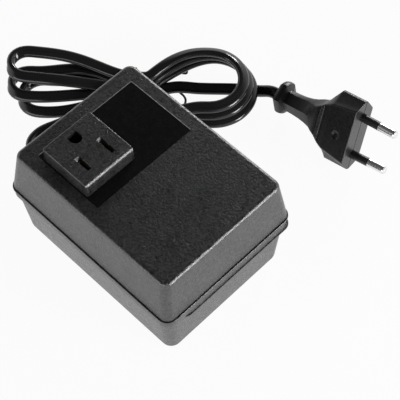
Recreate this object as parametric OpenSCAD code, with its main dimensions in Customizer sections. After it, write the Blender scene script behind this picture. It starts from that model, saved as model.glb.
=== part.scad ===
// Travel voltage converter: a two-part case with a raised outlet on top, a step-down
// transformer inside, and a tied flat lead with a two-pin plug.
// X runs across the case, Y along it toward the lead, Z up from the surface it stands on.
// The origin is under the middle of the case.

/* [Case] */
// Width of the case at the seam
seam_w = 73.2; // [70:0.1:80]
// Length of the case at the seam
seam_l = 96.5; // [93:0.1:106]
// Taper from the seam in to the top, on each long side
top_inset_x = 3.1; // [2:0.05:4.5]
// Taper from the seam in to the top, on each end
top_inset_y = 3.25; // [2:0.05:4.5]
// Taper from the seam in to the base, on each long side
base_inset_x = 3.35; // [2:0.05:4.5]
// Taper from the seam in to the base, on each end
base_inset_y = 2.5; // [2:0.05:4.5]
// Height of the top above the floor
case_h = 57; // [54:0.5:66]
// Height of the seam above the floor
seam_z = 34; // [32:0.5:38]
// Wall thickness of both shells
wall = 2.2; // [1.8:0.1:2.8]
// Thickness of the floor of the lower shell
floor_t = 2.6; // [2:0.1:3.2]
// Corner radius at the seam, seen from above
seam_r = 4.2; // [3:0.1:7]
// Corner radius of the top, seen from above
top_r = 3.4; // [2.6:0.1:6]
// Corner radius of the base, seen from above
base_r = 4.8; // [4:0.1:7]
// Softening of the top edge
top_edge_r = 1.5; // [0.6:0.1:2]
// Softening of the bottom edge
base_edge_r = 3.2; // [2:0.1:3.6]

/* [Seam] */
// Height of the band below the seam
band_h = 5.8; // [4:0.1:8]
// How far the band stands out past the upper shell
band_proud = 0.3; // [0.1:0.05:0.6]
// Step from the band in to the lower wall
band_step = 1.1; // [0.4:0.1:1.6]
// Open groove between the two shells
seam_gap = 0.45; // [0.2:0.05:0.8]
// Depth of the tongue of the upper shell in the lower one
lip_h = 2.6; // [1.8:0.1:3.4]
// Play on each side of the tongue
lip_fit = 0.15; // [0.05:0.05:0.3]

/* [Case screws] */
// Diameter of the case posts
post_d = 7.5; // [6.8:0.1:8.4]
// Thread diameter of the case screws
case_screw_d = 3; // [2.6:0.1:3.4]
// Length of the case screws under the head
case_screw_l = 12; // [9:0.5:16]
// Head diameter of the case screws
case_head_d = 5.2; // [4.6:0.1:5.6]
// Head height of the case screws
case_head_h = 2.2; // [1.6:0.1:2.8]
// Material between the head and the parting of the posts
post_seat_t = 4; // [3:0.5:6]
// How far below the seam the posts meet
post_drop = 8; // [5:0.5:12]

/* [Outlet] */
// Side of the square outlet block
block_w = 27.1; // [25.5:0.1:29]
// Height of the block above the top of the case
block_rise = 7.1; // [5:0.1:9]
// Depth of the block below the top of the case
block_depth = 13; // [12:0.5:15]
// Edge of the top to the side of the block, across the case
block_edge_x = 7.25; // [6.4:0.05:9]
// Edge of the top to the side of the block, along the case
block_edge_y = 10.45; // [10:0.05:13]
// Draft of the sides of the block
block_draft = 0.3; // [0.2:0.1:0.9]
// Softening of the upper edge of the block
block_edge_r = 0.6; // [0.4:0.1:1.8]
// Width of the flange under the top of the case
flange_w = 2; // [1.2:0.1:2.6]
// Thickness of that flange
flange_t = 2; // [1.4:0.1:3]
// Distance between the two blade slots
slot_pitch = 12.7; // [12.5:0.1:12.9]
// Width of the blade slots
slot_w = 2; // [1.8:0.1:2.3]
// Length of the line slot
line_slot_l = 7; // [6.6:0.1:7.4]
// Length of the neutral slot
neutral_slot_l = 8.4; // [8:0.1:8.8]
// Slot line to the middle of the block
slot_offset = 4.6; // [4:0.1:5.4]
// Slot line to the middle of the earth hole
earth_offset = 11.9; // [11.6:0.1:12.2]
// Diameter of the round end of the earth hole
earth_d = 5.4; // [5:0.1:5.8]
// Thickness of the face over the contacts
face_t = 2; // [1.4:0.1:3]
// Strip thickness of the contacts
contact_t = 0.6; // [0.4:0.05:0.8]
// Play between a blade contact and its pocket
contact_fit = 0.15; // [0.1:0.05:0.3]
// Thickness of the cover under the contacts
cover_t = 2.4; // [1.8:0.1:3]
// Thread diameter of the cover screws
cover_screw_d = 2.6; // [2.2:0.1:3]
// Length of the cover screws under the head
cover_screw_l = 9; // [7:0.5:11]
// Diameter of the bosses for the cover screws
cover_boss_d = 6; // [5.4:0.1:6.6]

/* [Label] */
// Edge of the top to the side of the label
label_edge_x = 6.7; // [6:0.1:9]
// Edge of the top to the upper end of the label
label_edge_y = 7.8; // [6:0.1:9]
// Length of the label along the case
label_l = 36.3; // [34:0.1:44]
// Thickness of the label film
label_t = 0.25; // [0.15:0.05:0.4]

/* [Transformer] */
// Room beside the core on each side
core_room_x = 2.55; // [2:0.05:5]
// Room over the core
core_room_z = 2.3; // [1:0.1:5]
// Height of the seats under the core
core_seat_h = 2.4; // [1.6:0.1:4]
// Room between the coil and the end wall
coil_room = 3; // [2:0.1:5]
// Room between the coil and the outlet
coil_clear = 0.8; // [0.4:0.1:3]
// Wall of the bobbin
bobbin_t = 1.1; // [0.8:0.1:1.5]
// Thickness of the tape round the winding
tape_t = 0.4; // [0.2:0.05:0.8]
// Thread diameter of the core bolts
bolt_d = 3; // [2.6:0.1:3.6]
// Thickness of the steel rails
rail_t = 1.2; // [0.8:0.1:1.6]
// How far the rails reach out from the core
rail_reach = 9; // [8:0.5:9.5]
// Distance between the two screws of a rail
rail_pitch = 26; // [22:0.5:30]
// Diameter of the thermal fuse
fuse_d = 4; // [3.4:0.1:4.6]
// Length of the thermal fuse
fuse_l = 11; // [9:0.5:12]
// Diameter of the inner wires
wire_d = 1.8; // [1.4:0.1:2.2]

/* [Lead] */
// Width of the flat lead, which stands on edge
cord_w = 5.3; // [5:0.1:6]
// Thickness of the flat lead
cord_t = 3.1; // [2.8:0.1:3.6]
// Height of the lead where it leaves the case
gland_z = 10; // [9.5:0.5:12]
// Place of the lead across the case
gland_x = -11; // [-14:0.5:-8]
// Radius of the neck of the strain relief
relief_neck_r = 4.4; // [4:0.1:4.8]
// Radius of the collars of the strain relief
relief_collar_r = 6.2; // [5.6:0.1:6.6]
// Thickness of the collars of the strain relief
relief_collar_t = 2; // [1.4:0.1:2.6]
// Length of the tapered sleeve
relief_sleeve_l = 16; // [14:0.5:18]
// Radius of the tip of the sleeve
relief_tip_r = 3.5; // [3.2:0.1:4.2]
// Number of ribs on the sleeve
relief_ribs = 4; // [2:1:5]

/* [Hank] */
// Number of loops in the hank
hank_loops = 3; // [2:1:3]
// Waist to the plug end of the loops, along the middle of the lead
hank_right = 53; // [50:0.5:58]
// Waist to the far end of the loops, along the middle of the lead
hank_left = 62.2; // [58:0.1:66]
// Radius of the bend of the lowest loop at the plug end
bend_right_r = 18.5; // [16:0.1:20]
// How much smaller that bend is in each loop above
nest_step = 1.3; // [0.8:0.1:1.6]
// Radius of the bend of the top loop at the far end
bend_left_r = 6.8; // [6:0.1:9]
// Half the distance between the two runs at the waist
waist_half = 2.75; // [2.7:0.05:4]
// Sideways step from one far bend to the next
fan_step = 7.15; // [6:0.05:9]
// Lean of the flat lead toward the middle of its loop, in degrees
hank_lean = 60; // [50:1:70]
// Clear height between two layers
layer_gap = 0.4; // [0.4:0.05:0.8]
// Thickness of the tie
tie_t = 0.9; // [0.6:0.1:1.2]
// Width of the tie
tie_w = 4; // [3:0.5:6]

/* [Plug] */
// Overall width of the plug face
plug_w = 35.3; // [34:0.1:36]
// Width of the flat of the plug face
plug_flat = 26.1; // [24:0.1:27]
// Thickness of the plug
plug_t = 13.7; // [13:0.1:14]
// Depth of the straight part of the plug
plug_head_l = 12.5; // [11:0.5:14]
// Length from the face to the collar
plug_l = 39.5; // [38:0.5:44]
// Diameter of the neck
neck_d = 9.6; // [8:0.1:10]
// Diameter of the collar
collar_d = 14.5; // [13:0.1:15]
// Thickness of the collar
collar_t = 5; // [4:0.1:6]
// Diameter of the pins
pin_d = 4; // [3.94:0.01:4.06]
// Length of the pins
pin_l = 19; // [18.5:0.1:19.5]
// Distance between the pins at the face
pin_pitch = 18.6; // [18:0.1:19.2]
// Lean of each pin toward the other, in degrees
pin_lean = 1.4; // [0:0.1:2]
// Length of the sleeves on the pins
sleeve_l = 10; // [9:0.5:10.5]
// Diameter of the sleeves on the pins
sleeve_d = 4; // [3.6:0.05:4]
// Thickness of the sleeves on the pins
sleeve_t = 0.6; // [0.4:0.05:0.7]

/* [Hidden] */

// Resolution of round shapes, and of the rounded outlines inside a hull
$fn = 48;
hull_fn = 32;
// Thickness of the outlines that a hull joins, and overlap of fused shapes
skin = 0.01;
fuse = 0.5;
// Play round screws, round heads and between still parts
screw_fit = 0.05;
head_fit = 0.3;
part_fit = 0.1;

// Colours
case_black = [0.16, 0.16, 0.17];
film_black = [0.04, 0.04, 0.045];
rubber_black = [0.07, 0.07, 0.075];
brass = [0.78, 0.62, 0.32];
steel = [0.72, 0.72, 0.74];
lamination_grey = [0.42, 0.42, 0.44];
bobbin_white = [0.88, 0.87, 0.82];
copper = [0.72, 0.42, 0.24];
tape_yellow = [0.92, 0.78, 0.25];

// Outlines of the case, as [width, length]
seam_size = [seam_w, seam_l];
both = [1, 1];
top_w = seam_w - 2 * top_inset_x;
top_l = seam_l - 2 * top_inset_y;
base_w = seam_w - 2 * base_inset_x;
base_l = seam_l - 2 * base_inset_y;
top_size = [top_w, top_l];
base_size = [base_w, base_l];
band_size = seam_size + 2 * band_proud * both;
ledge_size = band_size - 2 * band_step * both;
band_z = seam_z - band_h;
function between(a, b, t) = a + (b - a) * t;
function upper_size(z) = between(seam_size, top_size, (z - seam_z) / (case_h - seam_z));
function lower_size(z) = between(base_size, ledge_size, z / band_z);

// Case posts, in the flat of the base
recess_d = case_head_d + 2 * head_fit;
post_x = base_w / 2 - base_edge_r - recess_d / 2 - head_fit;
post_y = base_l / 2 - base_edge_r - recess_d / 2 - head_fit;
post_top = seam_z - post_drop;
post_places = [for (sx = [-1, 1], sy = [-1, 1]) [sx * post_x, sy * post_y, 0]];

// Outlet
block_x = -top_w / 2 + block_edge_x + block_w / 2;
block_y = top_l / 2 - block_edge_y - block_w / 2;
block_low = case_h - block_depth;
block_top = case_h + block_rise;
slot_y = block_y - slot_offset;
line_x = block_x - slot_pitch / 2;
neutral_x = block_x + slot_pitch / 2;
flange_size = block_w + 2 * flange_w;
contact_gap = slot_w - 0.2;
contact_w = contact_gap + 2 * contact_t;
contact_tail_l = 2.6;
boss_off = flange_size / 2 + cover_boss_d / 2 + part_fit;
boss_places = [[block_x + boss_off, block_y - block_w / 4, 0], [block_x + block_w / 4, block_y + boss_off, 0]];

// Transformer, in the proportions of stamped laminations
core_low = floor_t + core_seat_h;
core_high = case_h - wall - core_room_z;
core_w = base_w - 2 * wall - 2 * core_room_x;
leg_w = core_w / 3;
yoke = core_w / 6;
window_low = core_low + yoke;
window_high = core_high - yoke;
coil_grow = yoke - 0.5;
coil_front = -base_l / 2 + wall + coil_room;
coil_back = block_y - block_w / 2 - coil_clear;
coil_size = [leg_w + 2 * coil_grow, coil_back - coil_front];
stack_l = coil_size.y - 2 * coil_grow;
core_y = (coil_front + coil_back) / 2;
core_front = core_y - stack_l / 2;
core_back = core_y + stack_l / 2;
coil_r = 4;
bobbin_size = [leg_w, stack_l] + 2 * (bobbin_t + part_fit) * both;
tape_size = coil_size - 0.6 * both;
winding_size = tape_size - 2 * tape_t * both;
bolt_x = core_w / 2 - yoke / 2;
bolt_zs = [core_low + yoke / 2, core_high - yoke / 2];
bolt_head_h = 2;
nut_h = 2.4;
nut_d = 6;
bolt_l = stack_l + 2 * rail_t + nut_h + 1;
pin_row_y = core_back + coil_grow - 2.6;
pin_row = [5, 10, 15];
coil_pin_d = 1;
coil_pin_l = 5;
coil_pin_top = window_high + coil_pin_l - bobbin_t;
fuse_y = core_y + tape_size.y / 2 + part_fit + fuse_d / 2;
fuse_z = (window_low + window_high) / 2;
fuse_x = -5;
fuse_lead_d = 0.9;
fuse_lead_l = 2;

// Lead entry
gland_out = lower_size(gland_z).y / 2 + 0.6;
gland_in = lower_size(gland_z).y / 2 - wall - 0.6;
gland_pad_r = relief_collar_r + 1.2;
relief_tip_y = gland_out + relief_collar_t + relief_sleeve_l;
clamp_w = 5.6;
clamp_y = gland_in - relief_collar_t - clamp_w / 2 - 1.5;
clamp_dx = 6.3;
clamp_post_d = 6;
clamp_top = gland_z + cord_w / 2;
clamp_t = 2.4;
clamp_screw_d = 2.6;
clamp_screw_l = 8;
inner_end_y = clamp_y - clamp_w / 2 - 4;

// Hank, in its own frame: first along it toward the plug, then across it away from the case
hank_place = [51.56, 60.82];
hank_turn = -53;
bend_right_b = 2.2;
fan_b = 2.7;
tie_zone = 6;
// Differences between the far ends of the loops: reach, radius and belly of the front run
far_short = [0, 0.7, 6.7];
far_grow = [0, 1.8, 0.6];
far_belly = [3, 2, 2];
// Upright size of the leaning lead
hank_high = cord_t + (cord_w - cord_t) * cos(hank_lean);
layer_step = hank_high + layer_gap;
far_layer_step = layer_step + 0.15;
tail_lean = 105;
waist_lift = tie_t + 0.3;
loop_rings = 24;

// Plug, placed by its face: tipped up on its collar and rolled on to one bevel
plug_turn = [58, -11, -86];
plug_rear_w = plug_w - 1;
plug_rear_t = plug_t - 0.8;
plug_shoulder = 0.58 * plug_w;
shoulder_l = 6.1;
edge_l = 14;
flare_l = plug_l - plug_head_l - 5;
pin_seat_l = 7;
pin_shank_d = sleeve_d - 2 * sleeve_t;
collar_back = plug_l + collar_t;
function plug_drop(p) =
  -sin(plug_turn.y) * p.x + cos(plug_turn.y) * (sin(plug_turn.x) * p.y + cos(plug_turn.x) * p.z);
plug_low_points = concat(
  [[0, -plug_w / 2, 0], [0, -plug_flat / 2, -plug_t / 2], [-plug_head_l, -plug_rear_w / 2, 0]],
  [[-plug_head_l, -plug_flat / 2 * plug_rear_w / plug_w, -plug_rear_t / 2]],
  [for (a = [0:15:345], u = [plug_l, collar_back]) [-u, collar_d / 2 * cos(a), collar_d / 2 * sin(a)]]
);
plug_z = -min([for (p = plug_low_points) plug_drop(p)]) + 0.05;
plug_place = [95.9, -34.9, plug_z];
plug_axis = [cos(plug_turn.z) * cos(plug_turn.y), sin(plug_turn.z) * cos(plug_turn.y), -sin(plug_turn.y)];
tail_end = plug_place - collar_back * plug_axis;

// Route of the lead from the tip of the strain relief to the waist of the hank
lead_bend = [
  [-10.6, 68.3, 10], [-9.2, 70.8, 9.9], [-6.4, 72.8, 9.7], [-2.4, 73.8, 9.2], [2, 73.6, 8.7], [8, 72, 7.9],
  [14, 70.3, 7.5], [21, 69.6, 8.9], [27.6, 70.4, 12.4], [33.6, 71.3, 15.9], [39, 70.4, 17.2]
];
// Route of the lead from the waist of the hank to the collar of the plug
tail_bend = [
  [55.6, 52.2, 2.7], [59, 50.9, 2.3], [62.8, 50.1, 2.05], [66.7, 48.2, 1.95], [71.65, 43.6, 1.9], [77.1, 38, 1.9],
  [82.75, 31.95, 1.9], [86.3, 27.7, 2], [89, 23.5, 2.6], [90.9, 19.2, 4.1]
];

// Routes of the inner wires: points counted from the first end of each wire, then points counted from its last end
line_in_bend = [[[-1.4, -4.35, 1.15], [-5, -10.35, 5.55]], [[-5.4, 5.15, -4.75]]];
neutral_in_bend = [
  [[1.6, -4.35, 0.05], [9, -10.35, 3.45]],
  [[-4, 9.35, -25.9], [0, 6.95, -13.9], [0, 5.95, -1.9], [0, 2.95, 2.3]]
];
// The fuse wire passes beside the outlet block with this room
wire_room = 0.6;
fuse_side = max(0, block_x + block_w / 2 + wire_room + wire_d / 2 - pin_row[0]);
fuse_bend = [
  [[0.8, 2.15, 2.25]],
  [[fuse_side, 6.25, -7.9], [fuse_side, 5.35, -1.5], [fuse_side, 2.75, 2.1]]
];
line_out_bend = [
  [[0.2, 3.95, 1.7], [0.4, 7.75, -2.9], [-3, 12.35, -10.3]],
  [[15.05, 1.1, -4.9], [3.45, -1.3, -4.3]]
];
neutral_out_bend = [
  [[1.4, -1.65, 3.7], [3.2, -1.45, 2.1], [3.4, 5.15, -3.9], [-1, 9.75, -8.3]],
  [[6.35, -4.4, -2.3]]
];

// Outlines and solids of the case

module outline(size, r) {
  offset(r = r, $fn = hull_fn) square([size.x - 2 * r, size.y - 2 * r], center = true);
}

module tier(size, r, z) {
  translate([0, 0, z]) linear_extrude(skin) outline(size, r);
}

module prism(size, r, low, high) {
  translate([0, 0, low]) linear_extrude(high - low) outline(size, r);
}

module upper_solid() {
  hull() {
    tier(seam_size, seam_r, seam_z);
    for (a = [0:30:90]) {
      z = case_h - top_edge_r * (1 - sin(a)) - skin;
      inset = top_edge_r * (1 - cos(a));
      tier(upper_size(z) - 2 * inset * both, top_r - inset / 2, z);
    }
  }
}

module upper_hollow() {
  hull() {
    tier(seam_size - 2 * wall * both, seam_r - wall / 2, seam_z - skin);
    tier(upper_size(case_h - wall) - 2 * wall * both, top_r - wall / 2, case_h - wall - skin);
  }
}

module lower_solid() {
  prism(band_size, seam_r, band_z, seam_z - seam_gap);
  hull() {
    tier(ledge_size, seam_r, band_z + fuse);
    for (a = [0:30:90]) {
      z = base_edge_r * (1 - cos(a));
      inset = base_edge_r * (1 - sin(a));
      tier(lower_size(z) - 2 * inset * both, base_r - inset / 2, z);
    }
  }
}

module lower_hollow() {
  hull() {
    tier(lower_size(floor_t) - 2 * (wall + base_edge_r / 3) * both, base_r - wall / 2, floor_t);
    tier(lower_size(2 * floor_t) - 2 * wall * both, base_r - wall / 2, 2 * floor_t);
    tier(seam_size - 2 * wall * both, seam_r - wall / 2, seam_z);
  }
}

module upper_shell() {
  tongue_size = seam_size - (wall + 2 * lip_fit) * both;
  color(case_black) difference() {
    union() {
      difference() {
        upper_solid();
        upper_hollow();
      }
      difference() {
        prism(tongue_size, seam_r - wall / 2, seam_z - lip_h, seam_z + fuse);
        prism(seam_size - 2 * wall * both, seam_r - wall / 2, seam_z - lip_h - 1, seam_z + 1);
      }
      for (p = post_places) translate(p + [0, 0, post_top]) cylinder(d = post_d, h = case_h - wall - post_top + fuse);
      for (p = boss_places) translate(p + [0, 0, block_low]) cylinder(d = cover_boss_d, h = block_depth - wall + fuse);
    }
    translate([block_x, block_y, 0]) prism((block_w + 2 * part_fit) * both, 2, case_h - wall - 1, case_h + 1);
    label_area(part_fit, case_h - label_t, case_h + 1);
    for (p = post_places) translate(p + [0, 0, post_top - 1])
      cylinder(d = case_screw_d + 2 * screw_fit, h = case_screw_l - post_seat_t + 2.5);
    for (p = boss_places) translate(p + [0, 0, block_low - 1])
      cylinder(d = cover_screw_d + 2 * screw_fit, h = cover_screw_l - cover_t + 1.6);
  }
}

// Area of the label between two heights, round the outlet block
module label_area(grow, low, high) {
  label_w = top_w - 2 * label_edge_x + 2 * grow;
  difference() {
    translate([-label_w / 2, top_l / 2 - label_edge_y - label_l - grow, low])
      cube([label_w, label_l + 2 * grow, high - low]);
    translate([block_x, block_y, 0])
      prism((block_w + 4 * part_fit - 2 * grow) * both, 2, low - 1, high + 1);
  }
}

module label_film() {
  color(film_black) label_area(0, case_h - label_t, case_h);
}

module lower_shell() {
  seat_places = rail_screw_places();
  color(case_black) difference() {
    union() {
      difference() {
        lower_solid();
        lower_hollow();
        prism(seam_size - wall * both, seam_r - wall / 2, seam_z - lip_h, seam_z + 1);
      }
      for (p = post_places) translate(p + [0, 0, floor_t - fuse]) cylinder(d = post_d, h = post_top - floor_t + fuse);
      for (p = seat_places) translate(p + [0, 0, floor_t - fuse]) cylinder(d = post_d, h = core_seat_h + fuse);
      translate([gland_x, gland_in, gland_z]) rotate([-90, 0, 0]) cylinder(r = gland_pad_r, h = gland_out - gland_in);
      for (s = [-1, 1]) translate([gland_x + s * clamp_dx, clamp_y, floor_t - fuse])
        cylinder(d = clamp_post_d, h = clamp_top - floor_t + fuse);
      translate([gland_x - clamp_dx, clamp_y - clamp_w / 4, floor_t - fuse])
        cube([2 * clamp_dx, clamp_w / 2, clamp_top - cord_w - floor_t + fuse]);
    }
    for (p = post_places) translate(p) {
      translate([0, 0, -1]) cylinder(d = recess_d, h = post_top - post_seat_t + 1);
      cylinder(d = case_screw_d + 2 * head_fit, h = post_top + 1);
    }
    for (p = seat_places) translate(p + [0, 0, floor_t / 2]) cylinder(d = case_screw_d + 2 * screw_fit, h = core_low);
    translate([gland_x, gland_in - 1, gland_z]) rotate([-90, 0, 0])
      cylinder(r = relief_neck_r + part_fit, h = gland_out - gland_in + 2);
    for (s = [-1, 1]) translate([gland_x + s * clamp_dx, clamp_y, clamp_top - clamp_screw_l])
      cylinder(d = clamp_screw_d + 2 * screw_fit, h = clamp_screw_l + 1);
  }
}

// Screw that points up from its head seat at the origin
module screw(d, l, head_d, head_h) {
  cylinder(d = d, h = l);
  difference() {
    translate([0, 0, -head_h]) cylinder(d = head_d, h = head_h);
    for (a = [0, 90]) rotate(a) translate([-head_d * 0.35, -0.4, -head_h - 1]) cube([head_d * 0.7, 0.8, 2]);
  }
}

module case_screws() {
  color(steel) for (p = post_places) translate(p + [0, 0, post_top - post_seat_t])
    screw(case_screw_d, case_screw_l, case_head_d, case_head_h);
}

// Outlet and its contacts

module slot_cut(x, l, low, high) {
  translate([x - slot_w / 2, slot_y - l / 2, low]) cube([slot_w, l, high - low]);
}

module earth_cut(low, high) {
  translate([block_x, slot_y + earth_offset, low]) {
    cylinder(d = earth_d, h = high - low);
    translate([-earth_d / 2, 0, 0]) cube([earth_d, earth_d / 2, high - low]);
  }
}

module contact_pocket(x, l) {
  w = contact_w + 2 * contact_fit;
  translate([x - w / 2, slot_y - l / 2 - contact_fit, block_low - 1])
    cube([w, l + contact_t + 2 * contact_fit, block_top - face_t - block_low + 1]);
}

module outlet_block() {
  color(case_black) translate([block_x, block_y, 0]) difference() {
    union() {
      hull() {
        tier(block_w * both, 2, case_h);
        for (a = [0:30:90]) {
          z = block_top - block_edge_r * (1 - sin(a)) - skin;
          inset = block_edge_r * (1 - cos(a)) + block_draft;
          tier((block_w - 2 * inset) * both, 2, z);
        }
      }
      prism(block_w * both, 2, block_low, case_h + skin);
      prism(flange_size * both, 2, case_h - wall - flange_t, case_h - wall);
    }
    translate([-block_x, -block_y, 0]) {
      slot_cut(line_x, line_slot_l, block_low, block_top + 1);
      slot_cut(neutral_x, neutral_slot_l, block_low, block_top + 1);
      earth_cut(block_low - 1, block_top + 1);
      contact_pocket(line_x, line_slot_l);
      contact_pocket(neutral_x, neutral_slot_l);
    }
  }
}

// Folded strip, open toward the blade's other edge, with a tail through the cover
module contact(x, l) {
  h = block_top - face_t - block_low - contact_fit;
  color(brass) translate([x, slot_y - l / 2, block_low]) {
    linear_extrude(h) difference() {
      translate([-contact_w / 2, 0]) square([contact_w, l + contact_t]);
      translate([-contact_gap / 2, -1]) square([contact_gap, l + 1 - contact_t]);
    }
    translate([-contact_w / 2, l - 2 * contact_t, -cover_t - contact_tail_l])
      cube([contact_w, 2 * contact_t, cover_t + contact_tail_l + fuse]);
  }
}

module line_contact() {
  contact(line_x, line_slot_l);
}

module neutral_contact() {
  contact(neutral_x, neutral_slot_l);
}

module contact_cover() {
  low = block_low - cover_t;
  color(case_black) difference() {
    union() {
      translate([block_x, block_y, 0]) prism(block_w * both, 2, low, block_low);
      for (p = boss_places) translate([0, 0, low]) linear_extrude(cover_t) ear(p);
    }
    for (p = boss_places) translate(p + [0, 0, low - 1]) cylinder(d = cover_screw_d + 2 * head_fit, h = cover_t + 2);
    for (c = [[line_x, line_slot_l], [neutral_x, neutral_slot_l]])
      translate([c[0] - contact_w / 2 - contact_fit, slot_y + c[1] / 2 - 2 * contact_t - contact_fit, low - 1])
        cube([contact_w + 2 * contact_fit, 2 * contact_t + 2 * contact_fit, cover_t + 2]);
  }
}

// Ear of the cover under one boss, drawn out from the plate
module ear(p) {
  toward = [block_x, block_y, 0] - p;
  inward = abs(toward.x) > abs(toward.y) ? [sign(toward.x), 0] : [0, sign(toward.y)];
  bridge = cover_boss_d / 2 + flange_w + 1;
  translate([p.x, p.y]) {
    circle(d = cover_boss_d);
    translate(inward * bridge / 2) square([abs(inward.x), abs(inward.y)] * (bridge - cover_boss_d) + cover_boss_d * both,
      center = true);
  }
}

module cover_screws() {
  color(steel) for (p = boss_places) translate(p + [0, 0, block_low - cover_t])
    screw(cover_screw_d, cover_screw_l, 1.75 * cover_screw_d, 0.7 * cover_screw_d);
}

// Transformer

module bolt_holes() {
  for (sx = [-1, 1], z = bolt_zs) translate([sx * bolt_x, core_front - 10, z]) rotate([-90, 0, 0])
    cylinder(d = bolt_d + 2 * part_fit, h = stack_l + 20);
}

module core_e() {
  color(lamination_grey) difference() {
    translate([-core_w / 2, core_front, core_low]) cube([core_w, stack_l, window_high - core_low]);
    for (s = [-1, 1]) translate([s * (leg_w + yoke) / 2 - yoke / 2, core_front - 1, window_low])
      cube([yoke, stack_l + 2, window_high - window_low + 1]);
    bolt_holes();
  }
}

module core_i() {
  color(lamination_grey) difference() {
    translate([-core_w / 2, core_front, window_high]) cube([core_w, stack_l, core_high - window_high]);
    bolt_holes();
  }
}

module coil_ring(outer, inner, low, high) {
  translate([0, core_y, 0]) difference() {
    prism(outer, coil_r, low, high);
    translate([-inner.x / 2, -inner.y / 2, low - 1]) cube([inner.x, inner.y, high - low + 2]);
  }
}

module bobbin() {
  hole = [leg_w, stack_l] + 2 * part_fit * both;
  low = window_low + part_fit;
  high = window_high - part_fit;
  color(bobbin_white) difference() {
    union() {
      coil_ring(coil_size, hole, low, low + bobbin_t);
      coil_ring(coil_size, hole, high - bobbin_t, high);
      translate([0, core_y, 0]) difference() {
        translate([-bobbin_size.x / 2, -bobbin_size.y / 2, low]) cube([bobbin_size.x, bobbin_size.y, high - low]);
        translate([-hole.x / 2, -hole.y / 2, low - 1]) cube([hole.x, hole.y, high - low + 2]);
      }
    }
    for (x = pin_row) translate([x, pin_row_y, high - bobbin_t - 1])
      cylinder(d = coil_pin_d + 2 * screw_fit, h = bobbin_t + 2);
  }
}

module winding() {
  inner = bobbin_size + 2 * part_fit * both;
  color(copper) coil_ring(winding_size, inner, window_low + bobbin_t + 2 * part_fit, window_high - bobbin_t - 2 * part_fit);
}

module winding_tape() {
  margin = bobbin_t + 1.5;
  color(tape_yellow) translate([0, core_y, 0]) difference() {
    prism(tape_size, coil_r, window_low + margin, window_high - margin);
    prism(winding_size, coil_r - tape_t, window_low, window_high);
  }
}

module bobbin_pins() {
  color(steel) for (x = pin_row) translate([x, pin_row_y, coil_pin_top - coil_pin_l]) cylinder(d = coil_pin_d, h = coil_pin_l);
}

module core_bolts() {
  color(steel) for (sx = [-1, 1], z = bolt_zs) translate([sx * bolt_x, core_front - rail_t, z]) rotate([-90, 0, 0])
    screw(bolt_d, bolt_l, 1.8 * bolt_d, bolt_head_h);
}

module core_nuts() {
  color(steel) for (sx = [-1, 1], z = bolt_zs) translate([sx * bolt_x, core_back + rail_t, z]) rotate([-90, 0, 0])
    difference() {
      cylinder(d = nut_d, h = nut_h, $fn = 6);
      translate([0, 0, -1]) cylinder(d = bolt_d + 2 * screw_fit, h = nut_h + 2);
    }
}

module core_washers() {
  color(steel) for (sx = [-1, 1], y = [core_front - rail_t, core_back])
    translate([sx * bolt_x, y, bolt_zs[1]]) rotate([-90, 0, 0]) difference() {
      cylinder(d = 2.2 * bolt_d, h = rail_t);
      translate([0, 0, -1]) cylinder(d = bolt_d + 2 * screw_fit, h = rail_t + 2);
    }
}

rail_screw_y = rail_reach - 4.4;
function rail_screw_places() = [
  for (sx = [-1, 1], y = [core_front - rail_screw_y, core_back + rail_screw_y]) [sx * rail_pitch / 2, y, 0]
];

// Steel angle against the back face of the core, its foot reaching out along Y
module rail() {
  foot_w = rail_pitch + 8;
  difference() {
    union() {
      translate([-core_w / 2, 0, core_low]) cube([core_w, rail_t, yoke]);
      translate([-foot_w / 2, 0, core_low]) cube([foot_w, rail_reach, rail_t]);
    }
    for (s = [-1, 1]) {
      translate([s * rail_pitch / 2, rail_screw_y, core_low - 1]) cylinder(d = case_screw_d + 2 * head_fit, h = rail_t + 2);
      translate([s * bolt_x, -1, bolt_zs[0]]) rotate([-90, 0, 0]) cylinder(d = bolt_d + 2 * part_fit, h = rail_t + 2);
    }
  }
}

module rear_rail() {
  color(steel) translate([0, core_back, 0]) rail();
}

module front_rail() {
  color(steel) translate([0, core_front, 0]) mirror([0, 1, 0]) rail();
}

module rail_screws() {
  color(steel) for (p = rail_screw_places()) translate(p + [0, 0, core_low + rail_t]) mirror([0, 0, 1])
    screw(case_screw_d, core_seat_h + rail_t, case_head_d, case_head_h - 0.4);
}

module thermal_fuse() {
  color(bobbin_white) translate([fuse_x, fuse_y, fuse_z]) rotate([0, 90, 0]) {
    translate([0, 0, -fuse_l / 2]) cylinder(d = fuse_d, h = fuse_l);
    translate([0, 0, -fuse_l / 2 - fuse_lead_l]) cylinder(d = fuse_lead_d, h = fuse_l + 2 * fuse_lead_l);
  }
}

// Tubes along a route, of an upright oval section with flat sides

function unit(v) = v / norm(v);
function heading(path, i) = unit(path[min(i + 1, len(path) - 1)] - path[max(i - 1, 0)]);
function ring(path, i, sides, high, wide, above, lean) =
  let (
    t = heading(path, i),
    level = unit(cross(t, above)),
    plumb = cross(level, t),
    roll = between(lean[0], lean[1], ease(i / (len(path) - 1))),
    side = level * cos(roll) + plumb * sin(roll),
    up = plumb * cos(roll) - level * sin(roll),
    first = sides % 4 == 0 ? 180 / sides : 30,
    k = cos(180 / sides)
  )
  [for (j = [0:sides - 1])
    let (a = first + 360 * j / sides)
    path[i] + side * wide / 2 * cos(a) / k + up * high / 2 * sin(a) / (sides == 6 ? 1 : k)];

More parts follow.
